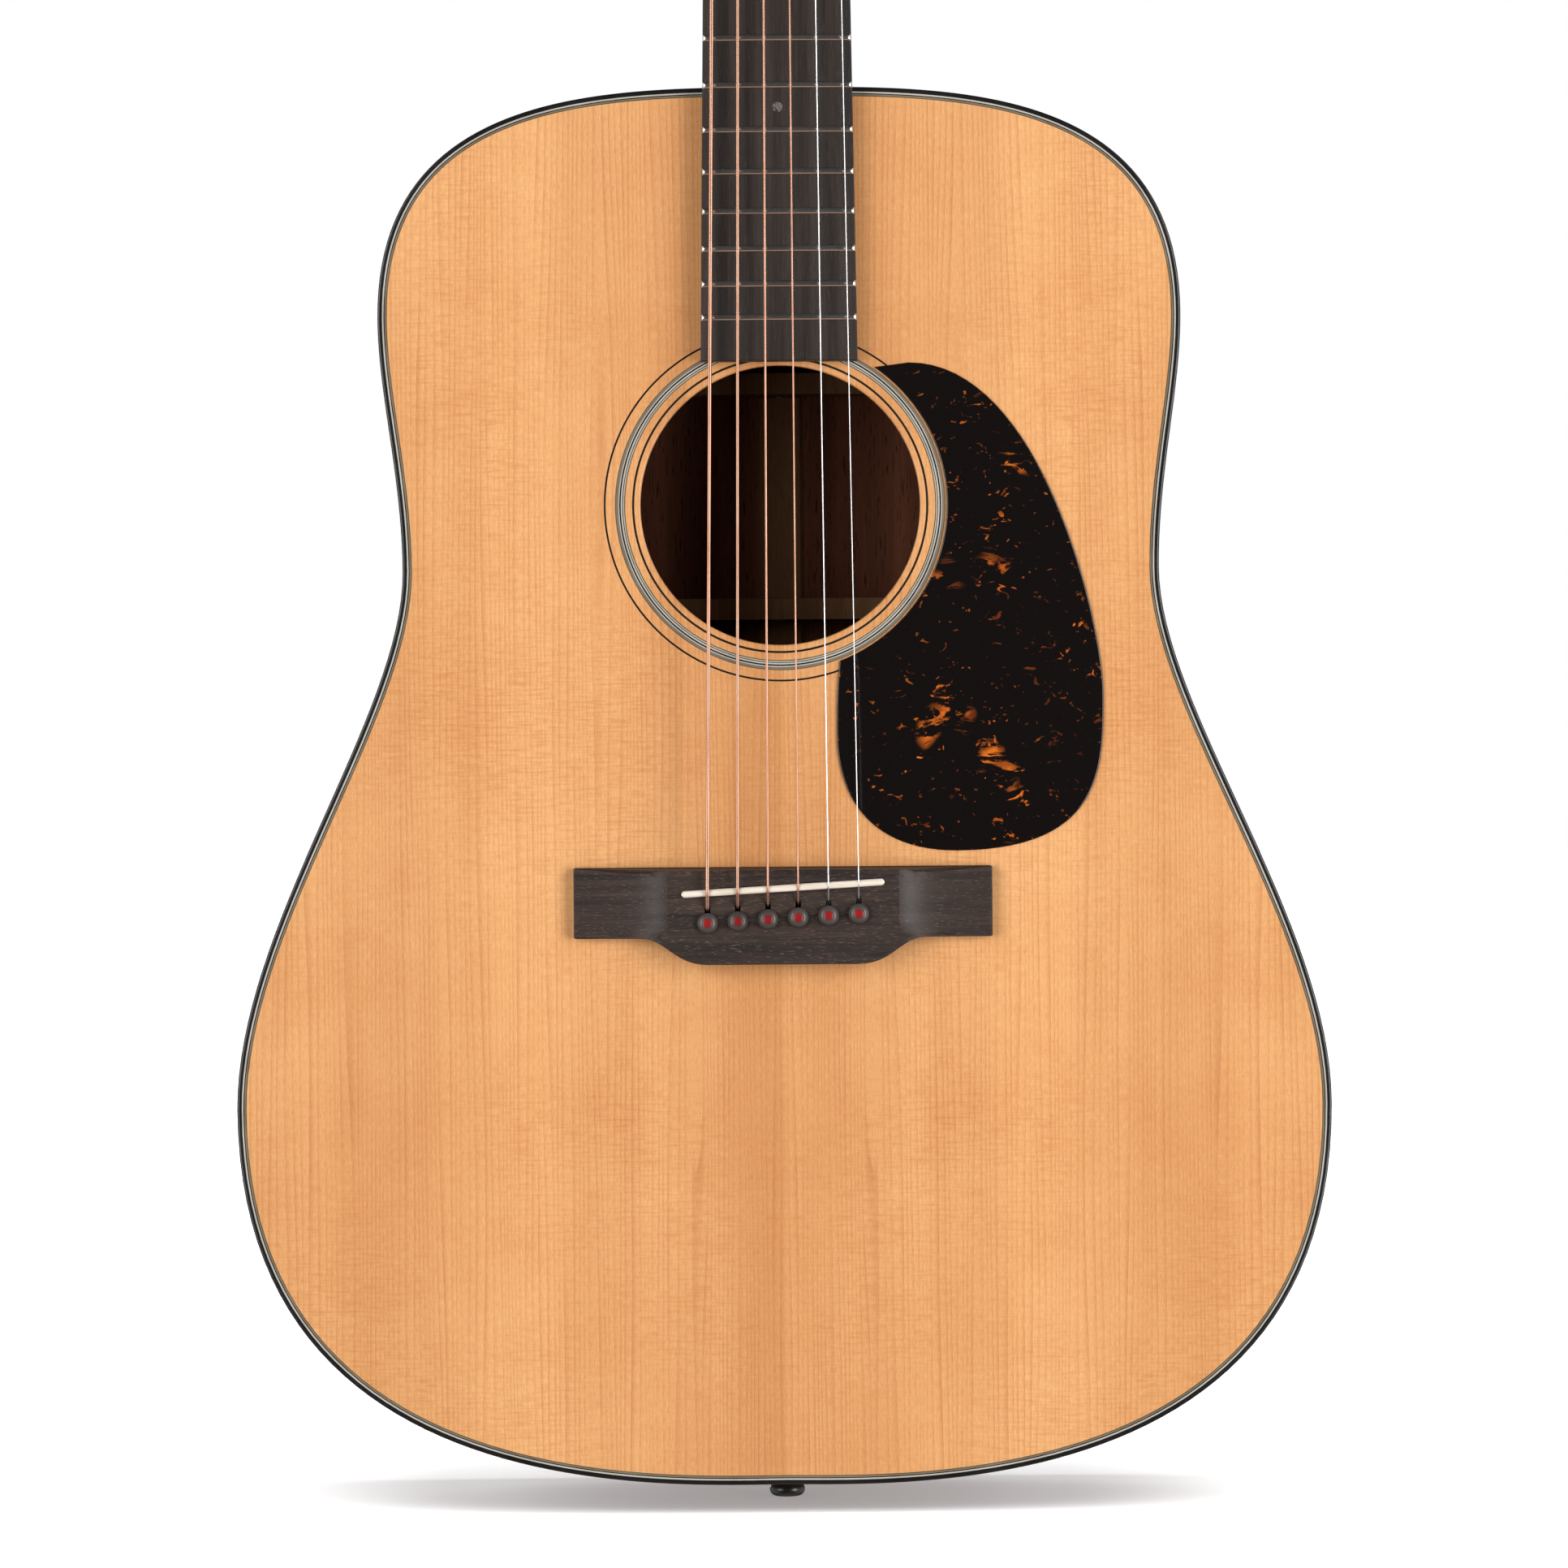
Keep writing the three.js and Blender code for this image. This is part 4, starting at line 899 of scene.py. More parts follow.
def make_end_pin():
    """A waisted button outside the body, on a tapered shaft that goes into the end block."""
    depth, reach = 60, 11
    head = [(0, 0), (3.6, 0.05), (5.4, 0.5), (6.4, 1.8), (6.5, 3.4), (5.4, 5.2), (4.4, 7), (4.5, 8.2)]
    head += [(6.4, 9.3), (6.8, 9.9)]
    shaft = [(6.8, 10.9), (5.9, 11.2), (5, 33), (0, 33)]
    form = Form()
    form.turn([*smooth(head, 6), *shaft], (0, depth, -reach), along_z, 48)
    piece("strap_pin", form, BLACK_EDGE, stands_for=["end_pin"])


# ---- pickguard and bridge

def make_pickguard():
    """A thin sheet that follows the soundhole's rings and swells into a drop beside them."""
    z = HOLE_Z
    around = arc(60.6, 0.966, -1.213, 40, (0, z))
    start = around[-1]
    loop = around[:-1]
    for corners, steps in (
        ((start, (start[0] - 0.6, start[1] - 6), (20, z - 68), (20, z - 83.5)), 16),
        (((20, z - 83.5), (20, z - 108.5), (34, z - 126), (63.5, z - 126)), 24),
        (((63.5, z - 126), (117, z - 126), (117, z - 96), (117, z - 69)), 28),
        (((117, z - 69), (117, z - 44), (95.5, z + 51.5), (47, z + 51.5)), 32),
    ):
        loop += curve(corners, steps)
    loop += [(47, z + 51.5)]
    form = Form()
    form.tablet([loop], level(-0.8), level(-0.01), front_round=0.5)
    piece("pickguard_sheet", form, TORTOISE, stands_for=["pickguard"])


def wing_edge(z):
    """How far from its middle the bridge keeps its full height."""
    return 42 + 0.075 * max(205 - z, 0) ** 2


def bridge_height(x, z):
    """Full height in the middle; beyond a crisp edge each wing falls away in a cove."""
    low = 3.6
    beyond = max(abs(x) - wing_edge(z), 0)
    return low + (BRIDGE_TALL - low) * math.exp(-beyond / 6.5)


def bridge_outline():
    half, corner = BRIDGE_HALF, 0.8
    right = arc(corner, -math.pi / 2, 0, 6, (half - corner, WING_Z + corner))
    right += arc(corner, 0, math.pi / 2, 6, (half - corner, BRIDGE_TOP_Z - corner))
    belly = curve(((-52, WING_Z), (-42, WING_Z), (-40, BELLY_Z), (-27, BELLY_Z)), 14)
    across = [(x, BELLY_Z) for x in np.linspace(-27, 27, 10)[:-1]]
    rise = curve(((27, BELLY_Z), (40, BELLY_Z), (42, WING_Z), (52, WING_Z)), 14)
    return flipped(right) + belly + across + rise + [(52, WING_Z)] + right


def slanted(along, across):
    """A point in the line of the saddle, which slants over the bridge."""
    return along - SADDLE_SLANT * across, SADDLE_Z + SADDLE_SLANT * along + across


def make_bridge():
    """A block with a belly, two coved wings, the saddle's slot and six pin holes."""
    radius = SADDLE_THICK / 2 + 0.05
    end = SADDLE_HALF - 1.2
    slot = arc(radius, math.pi / 2, math.pi * 1.5, 6, (-end, 0))
    slot += arc(radius, -math.pi / 2, math.pi / 2, 6, (end, 0))
    slot = [slanted(along, across) for along, across in slot]
    holes = [pin_hole(x, z) for x, z in pin_places()]
    inner = grid((-75, 190), (76, 225), 2.5)
    for z in np.arange(188.5, 225):
        inner += [(side * (wing_edge(z) + beyond), z) for side in (-1, 1) for beyond in (-0.02, 0.6, 1.5)]
    form = Form()
    form.tablet(
        [bridge_outline(), slot, *holes], lambda x, z: -bridge_height(x, z), level(-0.01),
        front_round=0.3, inner=inner,
    )
    piece("bridge_block", form, BRIDGE_EBONY, stands_for=["bridge"], crease=28)


def camber(x):
    return x * x / (2 * CAMBER_RADIUS)


def make_saddle():
    """A bone strip with a rounded crest and round ends, set slanting in the bridge."""
    half = SADDLE_THICK / 2
    end = SADDLE_HALF - half
    tip = end + half * np.sin(np.linspace(0.2, 1.5, 8))
    sections = []
    for along in [*-tip[::-1], *np.linspace(-end, end, 24), *tip]:
        thin = half * math.sqrt(max(1 - (max(abs(along) - end, 0) / half) ** 2, 0.002))
        crest = -SADDLE_TALL + camber(along) + 0.6 * (1 - thin / half)
        section = [(a, crest + 1 - b / thin) for a, b in arc(thin, math.pi, 0, 8)]
        section = [(-thin, -SADDLE_SEAT), *section, (thin, -SADDLE_SEAT)]
        places = [(*slanted(along, across), y) for across, y in section]
        sections.append([(x, y, z) for x, z, y in places])
    form = Form()
    form.loft(sections)
    piece("saddle_strip", form, BONE, stands_for=["saddle"], crease=50)


def make_pins():
    """Six round-headed pins, each with a dot let into its head."""
    head = [(0, -2.75), (1.3, -2.78), (1.62, -2.85), (1.75, -3.02), (1.95, -3.1)]
    head += [(2.5, -2.9), (3.1, -2.35), (3.55, -1.55), (3.7, -0.9), (3.62, -0.3), (3.3, 0)]
    shaft = [(2.75, 0.1), (2.6, 0.6), (2.1, 24), (1.2, 25), (0, 25)]
    dot = smooth([(0, -3.0), (0.9, -2.97), (1.4, -2.88), (1.6, -2.74), (0, -2.7)], 4)
    for (number, _), (x, z) in zip(STRINGS, pin_places()):
        name = f"bridge_pin_{number}"
        form = Form()
        form.turn([*smooth(head, 4), *shaft], (x, -BRIDGE_TALL, z), sides=40)
        piece(f"{name}_turned", form, PIN_BLACK, f"pin_{number}", [name])
        form = Form()
        form.turn(dot, (x, -BRIDGE_TALL, z), sides=32)
        piece(f"{name}_dot", form, PIN_RED, f"pin_{number}")


# ---- neck and headstock

def board_half(z):
    return NUT_HALF + (BOARD_END_HALF - NUT_HALF) * (NUT_Z - z) / (NUT_Z - BOARD_END_Z)


def soft_max(a, b, blend):
    """The greater of two values, eased where they are close to each other."""
    near = max(blend - abs(a - b), 0) / blend
    return max(a, b) + near * near * blend / 4


def neck_flank(z):
    """One side of the neck's section at a height, from the board's edge to the middle of its back.

    The shaft is a flattened half round. Near the body the heel sweeps back from it to its cap.
    """
    up = z - BODY_LENGTH
    deep = 14.5 + 2.5 * (NUT_Z - z) / (NUT_Z - BODY_LENGTH)
    cap = back_depth(0, BODY_LENGTH)
    heel_deep = min(HEEL_SWEEP / max(up - HEEL_SHORTEST, 1) - 2, cap)
    full = max(deep, heel_deep)
    depth = min(soft_max(deep, heel_deep, 6), cap)
    points = []
    for i in range(25):
        y = depth * math.sin(math.pi / 2 * i / 24) ** 0.91
        down = min(y * full / depth, full)
        shaft = board_half(z) * max(1 - (down / deep) ** 2.2, 0) ** (1 / 2.2)
        wide = 14.2 + 13.4 / (1 + (down / 33) ** 2.2)
        reach = HEEL_SHORTEST + HEEL_SWEEP / (down + 2)
        heel = wide * math.sqrt(max(1 - (up / reach) ** 2, 0)) if down <= heel_deep else 0
        closed = i == 24 and up >= 16
        points.append((0 if closed else min(soft_max(shaft, heel, 3), board_half(z)), y))
    return points


def flare_corners():
    """The curve of the headstock's edge where it flares out from the nut."""
    return (NUT_HALF, 0.8), (23.5, 9), (28, 16), (head_half(HEAD_LOW), HEAD_LOW)


def flare_half(along):
    reached = [bezier(flare_corners(), i / 40)[0] for i in range(41)]
    return float(np.interp(along, [p.y for p in reached], [p.x for p in reached]))


def flare_flank(along):
    """One side of the flare's section, which squares up from the shaft's round to the headstock."""
    square = 2.3 + 11.7 * (along / HEAD_LOW) ** 3.5
    half = flare_half(along)
    points = []
    for i in range(25):
        turn = math.pi / 2 * i / 24
        x = half * max(math.cos(turn), 0) ** (2 / square)
        points.append((x if i < 24 else 0, HEAD_THICK * math.sin(turn) ** (2 / square)))
    return points


def make_neck():
    """The shaft with its heel and the headstock's flare, in sections close together at the heel."""
    heights = [508.1, 510, 512, 514, 516, 518, 520, 522, 523, 524.1, 524.7, 525.4, 526.2, 527.2, 528.5]
    heights += [530, 532, 534.5, 537.5, 541, 545, 550, 556, 563, 571, 580, 592]
    heights += list(np.linspace(610, NUT_Z, 12))
    flanks = [[(x, y, z) for x, y in neck_flank(z)] for z in heights]
    for along in (3, 5, 8, 11, 14, 17, 19, 21, 22.5, 24):
        flanks.append([lean(x, y, along) for x, y in flare_flank(along)])
    form = Form()
    lefts = form.sleeve([[(-x, y, z) for x, y, z in flank] for flank in flanks], closed=False)
    rights = form.sleeve(flanks, closed=False)
    for n in range(len(flanks) - 1):
        for edge in (0, -1):
            form.faces.append((lefts[n][edge], rights[n][edge], rights[n + 1][edge], lefts[n + 1][edge]))
    for left, right in ((lefts[0], rights[0]), (lefts[-1], rights[-1])):
        form.faces.append((*left, *reversed(right)))
    piece("neck_shaft", form, NECK_WOOD, stands_for=["neck"], crease=40)


def make_heel_cap():
    """A dark cap on the heel, level with the back."""
    depth = back_depth(0, BODY_LENGTH)
    loop = [(15.2 * a, 508.2 + 16.3 * b ** 0.9) for a, b in arc(1, 0, math.pi, 24)]
    form = Form()
    form.tablet([loop], level(depth - 0.1), level(depth + 1.6), back_round=0.6)
    piece("heel_cap", form, BLACK_EDGE)


def head_plan(low):
    """The headstock above its flare, counter-clockwise: splayed sides and a low crown."""
    crown = HEAD_LENGTH
    side = head_half(crown - 10)
    right = [(head_half(low), low)]
    right += curve(((side, crown - 10), (36.3, crown - 5.5), (34.5, crown - 2.9), (29.5, crown - 2.5)), 10)
    right += curve(((29.5, crown - 2.5), (20, crown - 1.9), (8, crown), (0, crown)), 10)
    return right + [(0, crown)] + flipped(right)


def post_holes():
    return [circle(4, (side * x, along), 32) for _, side, x, along, _ in tuner_places()]


def make_headstock():
    """The headstock above its flare, and the plate glued on its face."""
    form = Form(on_head)
    plan = head_plan(HEAD_LOW - 0.1)
    form.tablet([plan, *post_holes()], level(0), level(HEAD_THICK), back_round=0.9)
    piece("headstock_wood", form, NECK_WOOD, crease=40)

    flare = curve(flare_corners(), 12)
    loop = flare + head_plan(HEAD_LOW) + flipped(flare)
    form = Form(on_head)
    form.tablet([loop, *post_holes()], level(-2), level(-0.02), front_round=0.5)
    piece("headplate_sheet", form, BACK_WOOD, stands_for=["headplate"])


def across_board(half, under, over, steps=16):
    """A cambered slice: flat underneath, curved on top, its top corners eased."""
    points = [(half, under), (half, over + camber(half) + 0.5)]
    for i in range(steps + 1):
        x = (half - 0.35) * (1 - 2 * i / steps)
        points.append((x, over + camber(x) + (0.1 if i in (0, steps) else 0)))
    points += [(-half, over + camber(half) + 0.5), (-half, under)]
    return points


def fret_z(number):
    return NUT_Z - SCALE_LENGTH * (1 - 2 ** (-number / 12))


def make_fingerboard():
    form = Form()
    sections = []
    for z, grown in ((BOARD_END_Z, -0.4), (BOARD_END_Z + 0.4, 0), (NUT_Z - 0.02, 0)):
        section = across_board(board_half(z) + grown, -0.02, -BOARD_THICK - grown)
        sections.append([(x, y, z) for x, y in section])
    form.loft(sections)
    piece("fingerboard_plank", form, BOARD_EBONY, stands_for=["fingerboard"])


def fret_section(x, half, z):
    """A fret's crowned section, which dips towards the end of the fret."""
    lowest = 0.15
    sunk = 0.3
    down = max(1 - (half - abs(x)) / FRET_ROUND, 0)
    tall = lowest + (FRET_TALL - lowest) * math.sqrt(1 - down * down)
    surface = camber(x) - BOARD_THICK
    radius = FRET_WIDE / 2
    section = [(a, surface - tall * b / radius) for a, b in arc(radius, 0, math.pi, 10)]
    section += [(-radius, surface + sunk), (radius, surface + sunk)]
    return [(x, y, z + a) for a, y in section]


def make_frets():
    """Every fret, with sections close together where its ends are rounded down."""
    form = Form()
    for number in range(1, FRET_COUNT + 1):
        z = fret_z(number)
        half = board_half(z) - 0.15
        tip = [half - FRET_ROUND * (1 - math.sin(math.pi / 2 * i / 6)) for i in range(7)]
        middle = np.linspace(-tip[0], tip[0], 14)[1:-1]
        places = [*(-x for x in reversed(tip)), *middle, *tip]
        form.loft([fret_section(x, half, z) for x in places])
    piece("frets", form, FRET_METAL, crease=50)


def make_dots():
    """Pearl dots in the face and white ones in the bass edge, two at the octave."""
    pearl_dot = [(0, 0.6), (1.85, 0.6), (1.85, -0.02), (0, -0.03)]
    white_dot = [(0, 0), (1.0, 0), (1.0, 0.6), (0, 0.6)]
    face = Form()
    edge = Form()
    for number in (3, 5, 7, 9, 12, 15):
        z = (fret_z(number) + fret_z(number - 1)) / 2
        octave = number == 12
        for x in (-9, 9) if octave else (0,):
            face.turn(pearl_dot, (x, camber(x) - BOARD_THICK, z), sides=24)
        for shift in (-2.2, 2.2) if octave else (0,):
            edge.turn(white_dot, (-board_half(z) - 0.03, -3.4, z + shift), along_x, 20)
    piece("face_dots", face, PEARL)
    piece("side_dots", edge, LINES["white"])


def nut_string(index):
    """Where a string's middle passes over the nut, as (x, y)."""
    x = (index - 2.5) * NUT_PITCH
    radius = STRINGS[index][1]
    return x, -BOARD_THICK - FRET_TALL - STRING_OVER_FRET + camber(x) - radius


def make_nut():
    """A bone block with a slot filed for each string."""
    places = [(-NUT_HALF, None), (-NUT_HALF + 0.4, None)]
    for index, (_, radius) in enumerate(STRINGS):
        x, y = nut_string(index)
        wide = radius + 0.12
        places += [(x - wide - 0.02, None), (x - wide, y), (x, y + radius + 0.02)]
        places += [(x + wide, y), (x + wide + 0.02, None)]
    places += [(NUT_HALF - 0.4, None), (NUT_HALF, None)]
    sections = []
    for x, slot in places:
        ease = 0.4 if abs(x) > NUT_HALF - 0.1 else 0
        top = -NUT_TALL + ease if slot is None else slot
        back = NUT_THICK - ease
        section = [(0, 0), (top, ease), (top, 2.8), (min(top + 0.5, -1), 4.2)]
        section += [(min(top + 1.7, -1), back), (0, back)]
        sections.append([(x, y, NUT_Z + z) for y, z in section])
    form = Form()
    form.loft(sections)
    piece("nut_block", form, BONE, stands_for=["nut"], crease=40)


# ---- strings

def rounded(corners, reach, steps=6):
    """A path whose corners are eased over a distance to each side of them."""
    corners = [Vector(corner) for corner in corners]
    path = [corners[0]]
    for before, here, after in zip(corners, corners[1:], corners[2:]):
        start = here + (before - here).normalized() * reach
        end = here + (after - here).normalized() * reach
        for i in range(steps + 1):
            t = i / steps
            path.append(start * (1 - t) ** 2 + here * (2 * t * (1 - t)) + end * t * t)
    return path + [corners[-1]]


def coil_path(radius, winding):
    """A helix round a post, with its turns side by side."""
    pitch = 2.1 * radius
    turns = min(2.6 / pitch, 5)
    steps = int(turns * 20)
    reach = POST_RADIUS + radius
    path = []
    for i in range(steps + 1):
        turned = turns * i / steps
        angle = math.pi + 2 * math.pi * turned
        path.append((reach * math.cos(angle), pitch * turned - winding, reach * math.sin(angle)))
    return path


def make_strings():
    """Each string from its ball over the saddle and the nut to its post, and its coil there."""
    places = {string: spot for string, *spot in tuner_places()}
    ball = [(0, -2), (1.5, -2), (1.95, -1.2), (1.6, 0), (1.95, 1.2), (1.5, 2), (0, 2)]
    for index, ((number, radius), (pin_x, pin_z)) in enumerate(zip(STRINGS, pin_places())):
        side, post_x, along, winding = places[number]
        slot_z = pin_z + PIN_SLOT_REACH
        over_saddle = -SADDLE_TALL + camber(pin_x) - radius
        nut_x, nut_y = nut_string(index)
        tangent = side * (post_x - POST_RADIUS - radius)
        corners = [
            (pin_x, 7.5, slot_z), (pin_x, -BRIDGE_TALL - 0.2, slot_z),
            (pin_x, over_saddle, SADDLE_Z + SADDLE_SLANT * pin_x), (nut_x, nut_y, NUT_Z + 1.5),
            lean(tangent, HEAD_THICK + TUNER_GAP - winding, along),
        ]
        form = Form()
        form.tube(rounded(corners, 1.1), radius)
        form.turn(ball, (pin_x, 8.5, slot_z), sides=20)
        wire, slot = (BRONZE, "phosphor_bronze") if radius > WOUND_OVER else (STEEL, "plain_steel")
        piece(f"string_{number}_wire", form, wire, stands_for=[f"string_{number}"], crease=60)
        coil = Form(on_tuner(side, post_x, along))
        coil.tube(coil_path(radius, winding), radius, 8)
        piece(f"string_{number}_coil", coil, wire, f"post_{number}", crease=60)


# ---- tuners

WORM_Y = 4.6
WORM_Z = 7.54
GEAR_TEETH = 14
GEAR_ROOT = 4.05
GEAR_TIP = 5.5
GEAR_PITCH = 5.04
WORM_LEAD = 2 * math.pi * GEAR_PITCH / GEAR_TEETH
WORM_LONG = 4.6


def box_loop(x_low, x_high, z_low, z_high, corner, steps=5):
    """A rectangle with round corners, counter-clockwise."""
    centres = [
        (x_high - corner, z_low + corner), (x_high - corner, z_high - corner),
        (x_low + corner, z_high - corner), (x_low + corner, z_low + corner),
    ]
    loop = []
    for i, centre in enumerate(centres):
        start = -math.pi / 2 + i * math.pi / 2
        loop += arc(corner, start, start + math.pi / 2, steps, centre)
    return loop


def make_tuner_plate(number, place):
    """A pressed plate with two ears that carry the knob's shaft, and its two screws."""
    form = Form(place)
    plate = [box_loop(-7.5, 7.5, -9.5, 12.5, 3), circle(3.9, (0, 0), 32)]
    form.tablet(plate, level(0.05 - TUNER_GAP), level(1.2), back_round=0.35)
    ear = [(0.9, 4.9), (5.2, 4.9), (6.7, 5.6), (7.4, 7), (7.4, 8.3), (6.7, 9.7), (5.2, 10.4), (0.9, 10.4)]
    hole = circle(1.7, (WORM_Y, WORM_Z), 24)
    screw = smooth([(0, 0), (1.55, 0), (1.55, 0.2), (1.3, 0.7), (0.8, 0.95), (0, 1.0)], 3)
    for side in (-1, 1):
        form.place = lambda x, y, z, side=side: place(side * y, x, z)
        form.tablet([ear, hole], level(3.5), level(4.7), 0.2, 0.2)
        form.place = place
        form.turn(screw, (side * 4.5, 1.1, -6.6), sides=20)
    piece(f"tuner_plate_{number}_pressed", form, NICKEL, stands_for=[f"tuner_plate_{number}"])


def gear_loop():
    """A gear's outline, with a gap between two teeth at its top for the worm's thread."""
    flank = [(GEAR_ROOT, 0.152), (5.2, 0.1), (GEAR_TIP, 0.06)]
    tooth = [(radius, -turn) for radius, turn in flank] + flank[::-1]
    loop = []
    for number in range(GEAR_TEETH):
        middle = math.pi / 2 + 2 * math.pi * (number + 0.5) / GEAR_TEETH
        for radius, turn in tooth:
            loop.append((radius * math.cos(middle + turn), radius * math.sin(middle + turn)))
    return loop


def make_tuner_post(number, place):
    """A waisted post and its gear, whose teeth twist to follow the worm."""
    twist = math.tan(math.radians(8.2)) / GEAR_PITCH

    def twisted(x, y, z):
        turn = (y - WORM_Y) * twist if abs(y - WORM_Y) <= 2 else 0
        return place(x * math.cos(turn) + z * math.sin(turn), y, z * math.cos(turn) - x * math.sin(turn))

    form = Form(twisted)
    end = -HEAD_THICK - 14
    waist = [(0, 0), (1.6, 0.05), (2.5, 0.3), (3, 0.9), (3, 3.6), (2.75, 4.4), (2.75, 6.4), (3, 7.4)]
    profile = [(radius, end + up) for radius, up in waist]
    profile += [(3, 1.3), (3.7, 1.4), (3.7, 7.1), (2.6, 7.7), (0, 7.75)]
    form.turn(profile, (0, 0, 0), sides=32)
    form.tablet([gear_loop(), circle(3.4, (0, 0), 28)], level(3.1), level(6.1), 0.15, 0.15)
    piece(f"tuner_post_{number}_turned", form, NICKEL, f"post_{number}", [f"tuner_post_{number}"])


def worm_sections():
    """The worm's thread: one profile carried along a helix."""
    steps = 44
    flank = [(0.62, 1.3), (0.48, 2.2), (0.3, 2.85), (0.15, 2.95)]
    profile = flank + [(-across, radius) for across, radius in flank[::-1]]
    sections = []
    for step in range(steps + 1):
        along = (step / steps - 0.5) * WORM_LONG
        angle = 2 * math.pi * along / WORM_LEAD
        up, out = math.sin(angle), -math.cos(angle)
        sections.append([(along + across, up * radius, out * radius) for across, radius in profile])
    return sections


def make_tuner_knob(number, place):
    """A shaft with its collars and its worm, and a button flattened to an oval."""
    form = Form(lambda x, y, z: place(x, WORM_Y + y, WORM_Z + z))
    shaft = [(0, -5.6), (1.9, -5.6), (2.1, -5.4), (2.1, -4.9), (1.5, -4.9), (1.5, -3), (1.75, -3), (1.75, 3)]
    shaft += [(1.5, 3), (1.5, 4.9), (2.1, 4.9), (2.1, 6.3), (1.5, 6.3), (1.5, 15), (0, 15)]
    form.turn(shaft, (0, 0, 0), along_x, 28)
    button = [(0, 13.5), (2.2, 13.55), (4.4, 14.3), (7.2, 16.2), (9, 18.6), (9.4, 21), (8.7, 23.6)]
    button += [(6.6, 25.9), (3.4, 26.75), (0, 26.9)]
    form.turn(smooth(button), (0, 0, 0), lambda a, b, c: (c, b, a), 40, 0.52)
    form.loft(worm_sections())
    name = f"tuner_knob_{number}"
    piece(f"{name}_turned", form, NICKEL, f"knob_{number}", [name], 45)


def make_tuners():
    """The six tuners, and a ferrule round each post in the headstock's face."""
    ferrules = Form(on_head)
    flange = smooth([(3.2, -3.1), (3.9, -3.15), (4.7, -2.8), (5.1, -2.2), (5.1, -2.0)], 3)
    rim = [*flange, (3.95, -1.99), (3.95, 3), (3.2, 3), (3.2, -3.1)]
    for number, side, x, along, _ in tuner_places():
        place = on_tuner(side, x, along)
        make_tuner_plate(number, place)
        make_tuner_post(number, place)
        make_tuner_knob(number, place)
        ferrules.sleeve([at_depth(circle(radius, (side * x, along), 36), y) for radius, y in rim])
    piece("tuner_ferrules", ferrules, NICKEL)


# ---- pieces kept from the frame

KEPT = (
    (BRACE_SPRUCE, ("x_brace", "upper_brace", "tone_bar_1", "tone_bar_2")),
    (BRACE_SPRUCE, ("back_brace_1", "back_brace_2", "back_brace_3", "back_brace_4")),
    (BARE_MAHOGANY, ("neck_block", "end_block", "top_lining", "back_lining")),
    (MAPLE, ("bridge_plate",)),
    (ROD_STEEL, ("truss_rod", "truss_rod_nut")),
)


def finish_kept(name, material):
    """Gives a node of the frame its wood or steel, and eased edges."""
    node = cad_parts[name]
    node.data.materials.clear()
    node.data.materials.append(material)
    eased = node.modifiers.new("eased_edges", "BEVEL")
    eased.width = 0.0006
    eased.segments = 2
    eased.angle_limit = math.radians(40)


# ---- room, light and camera

CAMERA_DISTANCE = 2.2
VIEW_WIDE = 0.5698
VIEW_CENTRE = (0.00065, 0.2656)
CAMERA_ROLL = math.radians(0.415)


def make_floor():
    """A pale floor that only the camera sees, so that it throws no light or shadow of its own."""
    bpy.ops.mesh.primitive_grid_add(x_subdivisions=4, y_subdivisions=4, size=40)
    floor = bpy.context.object
    floor.name = "floor"
    floor.location.z = CAD_BOUNDS[0].z
    paint = Paint("floor", roughness=0.9, specular_ior_level=0.1, emission_strength=0.27,
                  emission_color=(1, 0.97, 0.97, 1))
    paint.colour(paint.ramp(paint.noise((3, 3, 3)), (0.3, 0.86), (0.7, 0.88)))
    floor.data.materials.append(paint.material)
    floor.visible_diffuse = False
    floor.visible_glossy = False
    floor.visible_shadow = False
    return floor


def add_light(name, kind, power, **settings):
    data = bpy.data.lights.new(name, kind)
    data.energy = power
    for key, value in settings.items():
        setattr(data, key, value)
    light = bpy.data.objects.new(name, data)
    bpy.context.scene.collection.objects.link(light)
    return light


def make_softbox(name, place, power, glossy=True):
    """A tall soft light aimed at the body."""
    light = add_light(name, "AREA", power, shape="RECTANGLE", size=1.0, size_y=1.8)
    light.location = place
    light.rotation_euler = (Vector((0, 0, 0.28)) - Vector(place)).to_track_quat("-Z", "Y").to_euler()
    light.visible_camera = False
    light.visible_glossy = glossy


def make_floor_light(floor):
    """A broad light for the floor alone, from above and in front, shaded by the guitar."""
    light = add_light("floor_light", "SUN", 4.4, angle=math.radians(75))
    light.rotation_euler = (math.radians(26), math.radians(6), 0)
    light.visible_glossy = False
    lit = bpy.data.collections.new("lit_by_floor_light")
    lit.objects.link(floor)
    light.light_linking.receiver_collection = lit


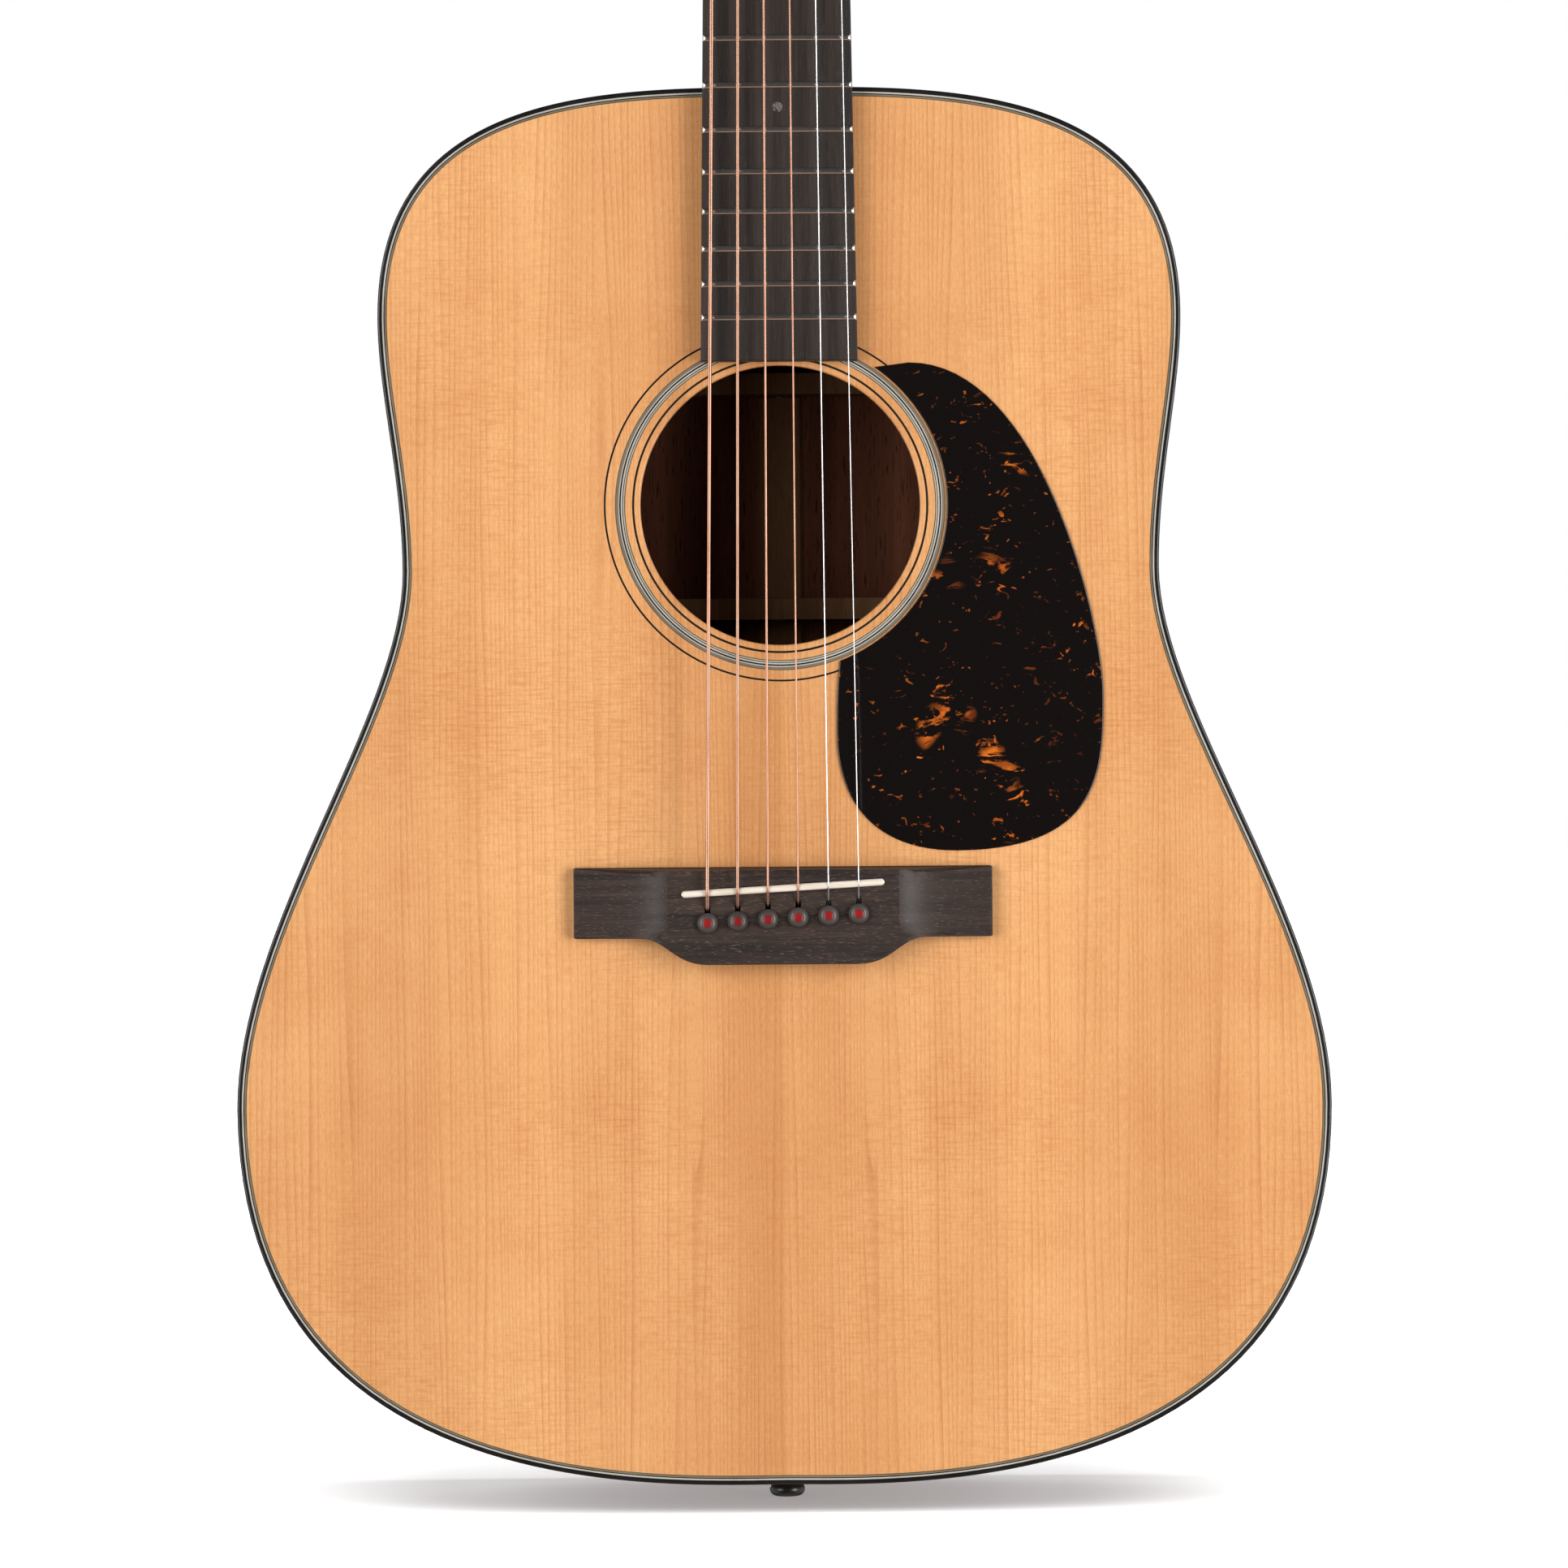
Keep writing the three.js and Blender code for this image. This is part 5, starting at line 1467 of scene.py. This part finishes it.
def make_world():
    """White to the eye; to all else a dim room with pale side walls and warm boards far below."""
    world = bpy.data.worlds.new("studio")
    bpy.context.scene.world = world
    world.use_nodes = True
    sky = Nodes(world.node_tree)
    white = sky.nodes["Background"]
    white.inputs["Color"].default_value = (1, 1, 1, 1)
    direction = sky.add("SeparateXYZ", {0: sky.add("TexCoord", {}).outputs["Generated"]})
    sideways = sky.maths("ABSOLUTE", direction.outputs["X"])
    walls = sky.ramp(sky.maths("MULTIPLY_ADD", sideways, 0.5, 0.5), (0.725, 0.05), (0.925, 0.7))
    upward = sky.maths("MULTIPLY_ADD", direction.outputs["Z"], 0.5, 0.5)
    boards = sky.ramp(upward, (0.05, (0.5, 0.27, 0.18)), (0.125, 0.0))
    both = sky.add("VectorMath", {0: walls, 1: boards}, operation="ADD").outputs[0]
    room = sky.add("Background", {"Color": both}).outputs[0]
    to_the_eye = sky.add("LightPath", {}).outputs["Is Camera Ray"]
    chosen = sky.add("MixShader", {0: to_the_eye, 1: room, 2: white.outputs[0]})
    sky.feed(sky.nodes["World Output"].inputs["Surface"], chosen.outputs[0])


def make_camera():
    """A long lens straight in front of the soundboard, turned very slightly."""
    data = bpy.data.cameras.new("camera")
    data.sensor_width = 36
    data.lens = 36 * CAMERA_DISTANCE / VIEW_WIDE
    data.clip_end = 60
    camera = bpy.data.objects.new("camera", data)
    bpy.context.scene.collection.objects.link(camera)
    camera.location = (VIEW_CENTRE[0], TOP_Y - CAMERA_DISTANCE, VIEW_CENTRE[1])
    camera.rotation_euler = (math.pi / 2, CAMERA_ROLL, 0)
    bpy.context.scene.camera = camera


make_camera()
make_soundboard()
make_rosette()
make_bindings()
make_sides()
make_back()
make_back_inlay()
make_inside_strip()
make_end_pin()
make_pickguard()
make_bridge()
make_saddle()
make_pins()
make_neck()
make_heel_cap()
make_headstock()
make_fingerboard()
make_frets()
make_dots()
make_nut()
make_strings()
make_tuners()
for material, names in KEPT:
    for name in names:
        finish_kept(name, material)
make_floor_light(make_floor())
make_world()
make_softbox("key", (1.6, -1.35, 0.25), 43)
make_softbox("fill", (-1.6, -1.45, 0.45), 30)
make_softbox("rear", (-1.0, 2.1, 1.0), 24)
make_softbox("front", (-0.95, -2.2, 0.5), 9, glossy=False)
bpy.context.scene.view_settings.view_transform = "Standard"
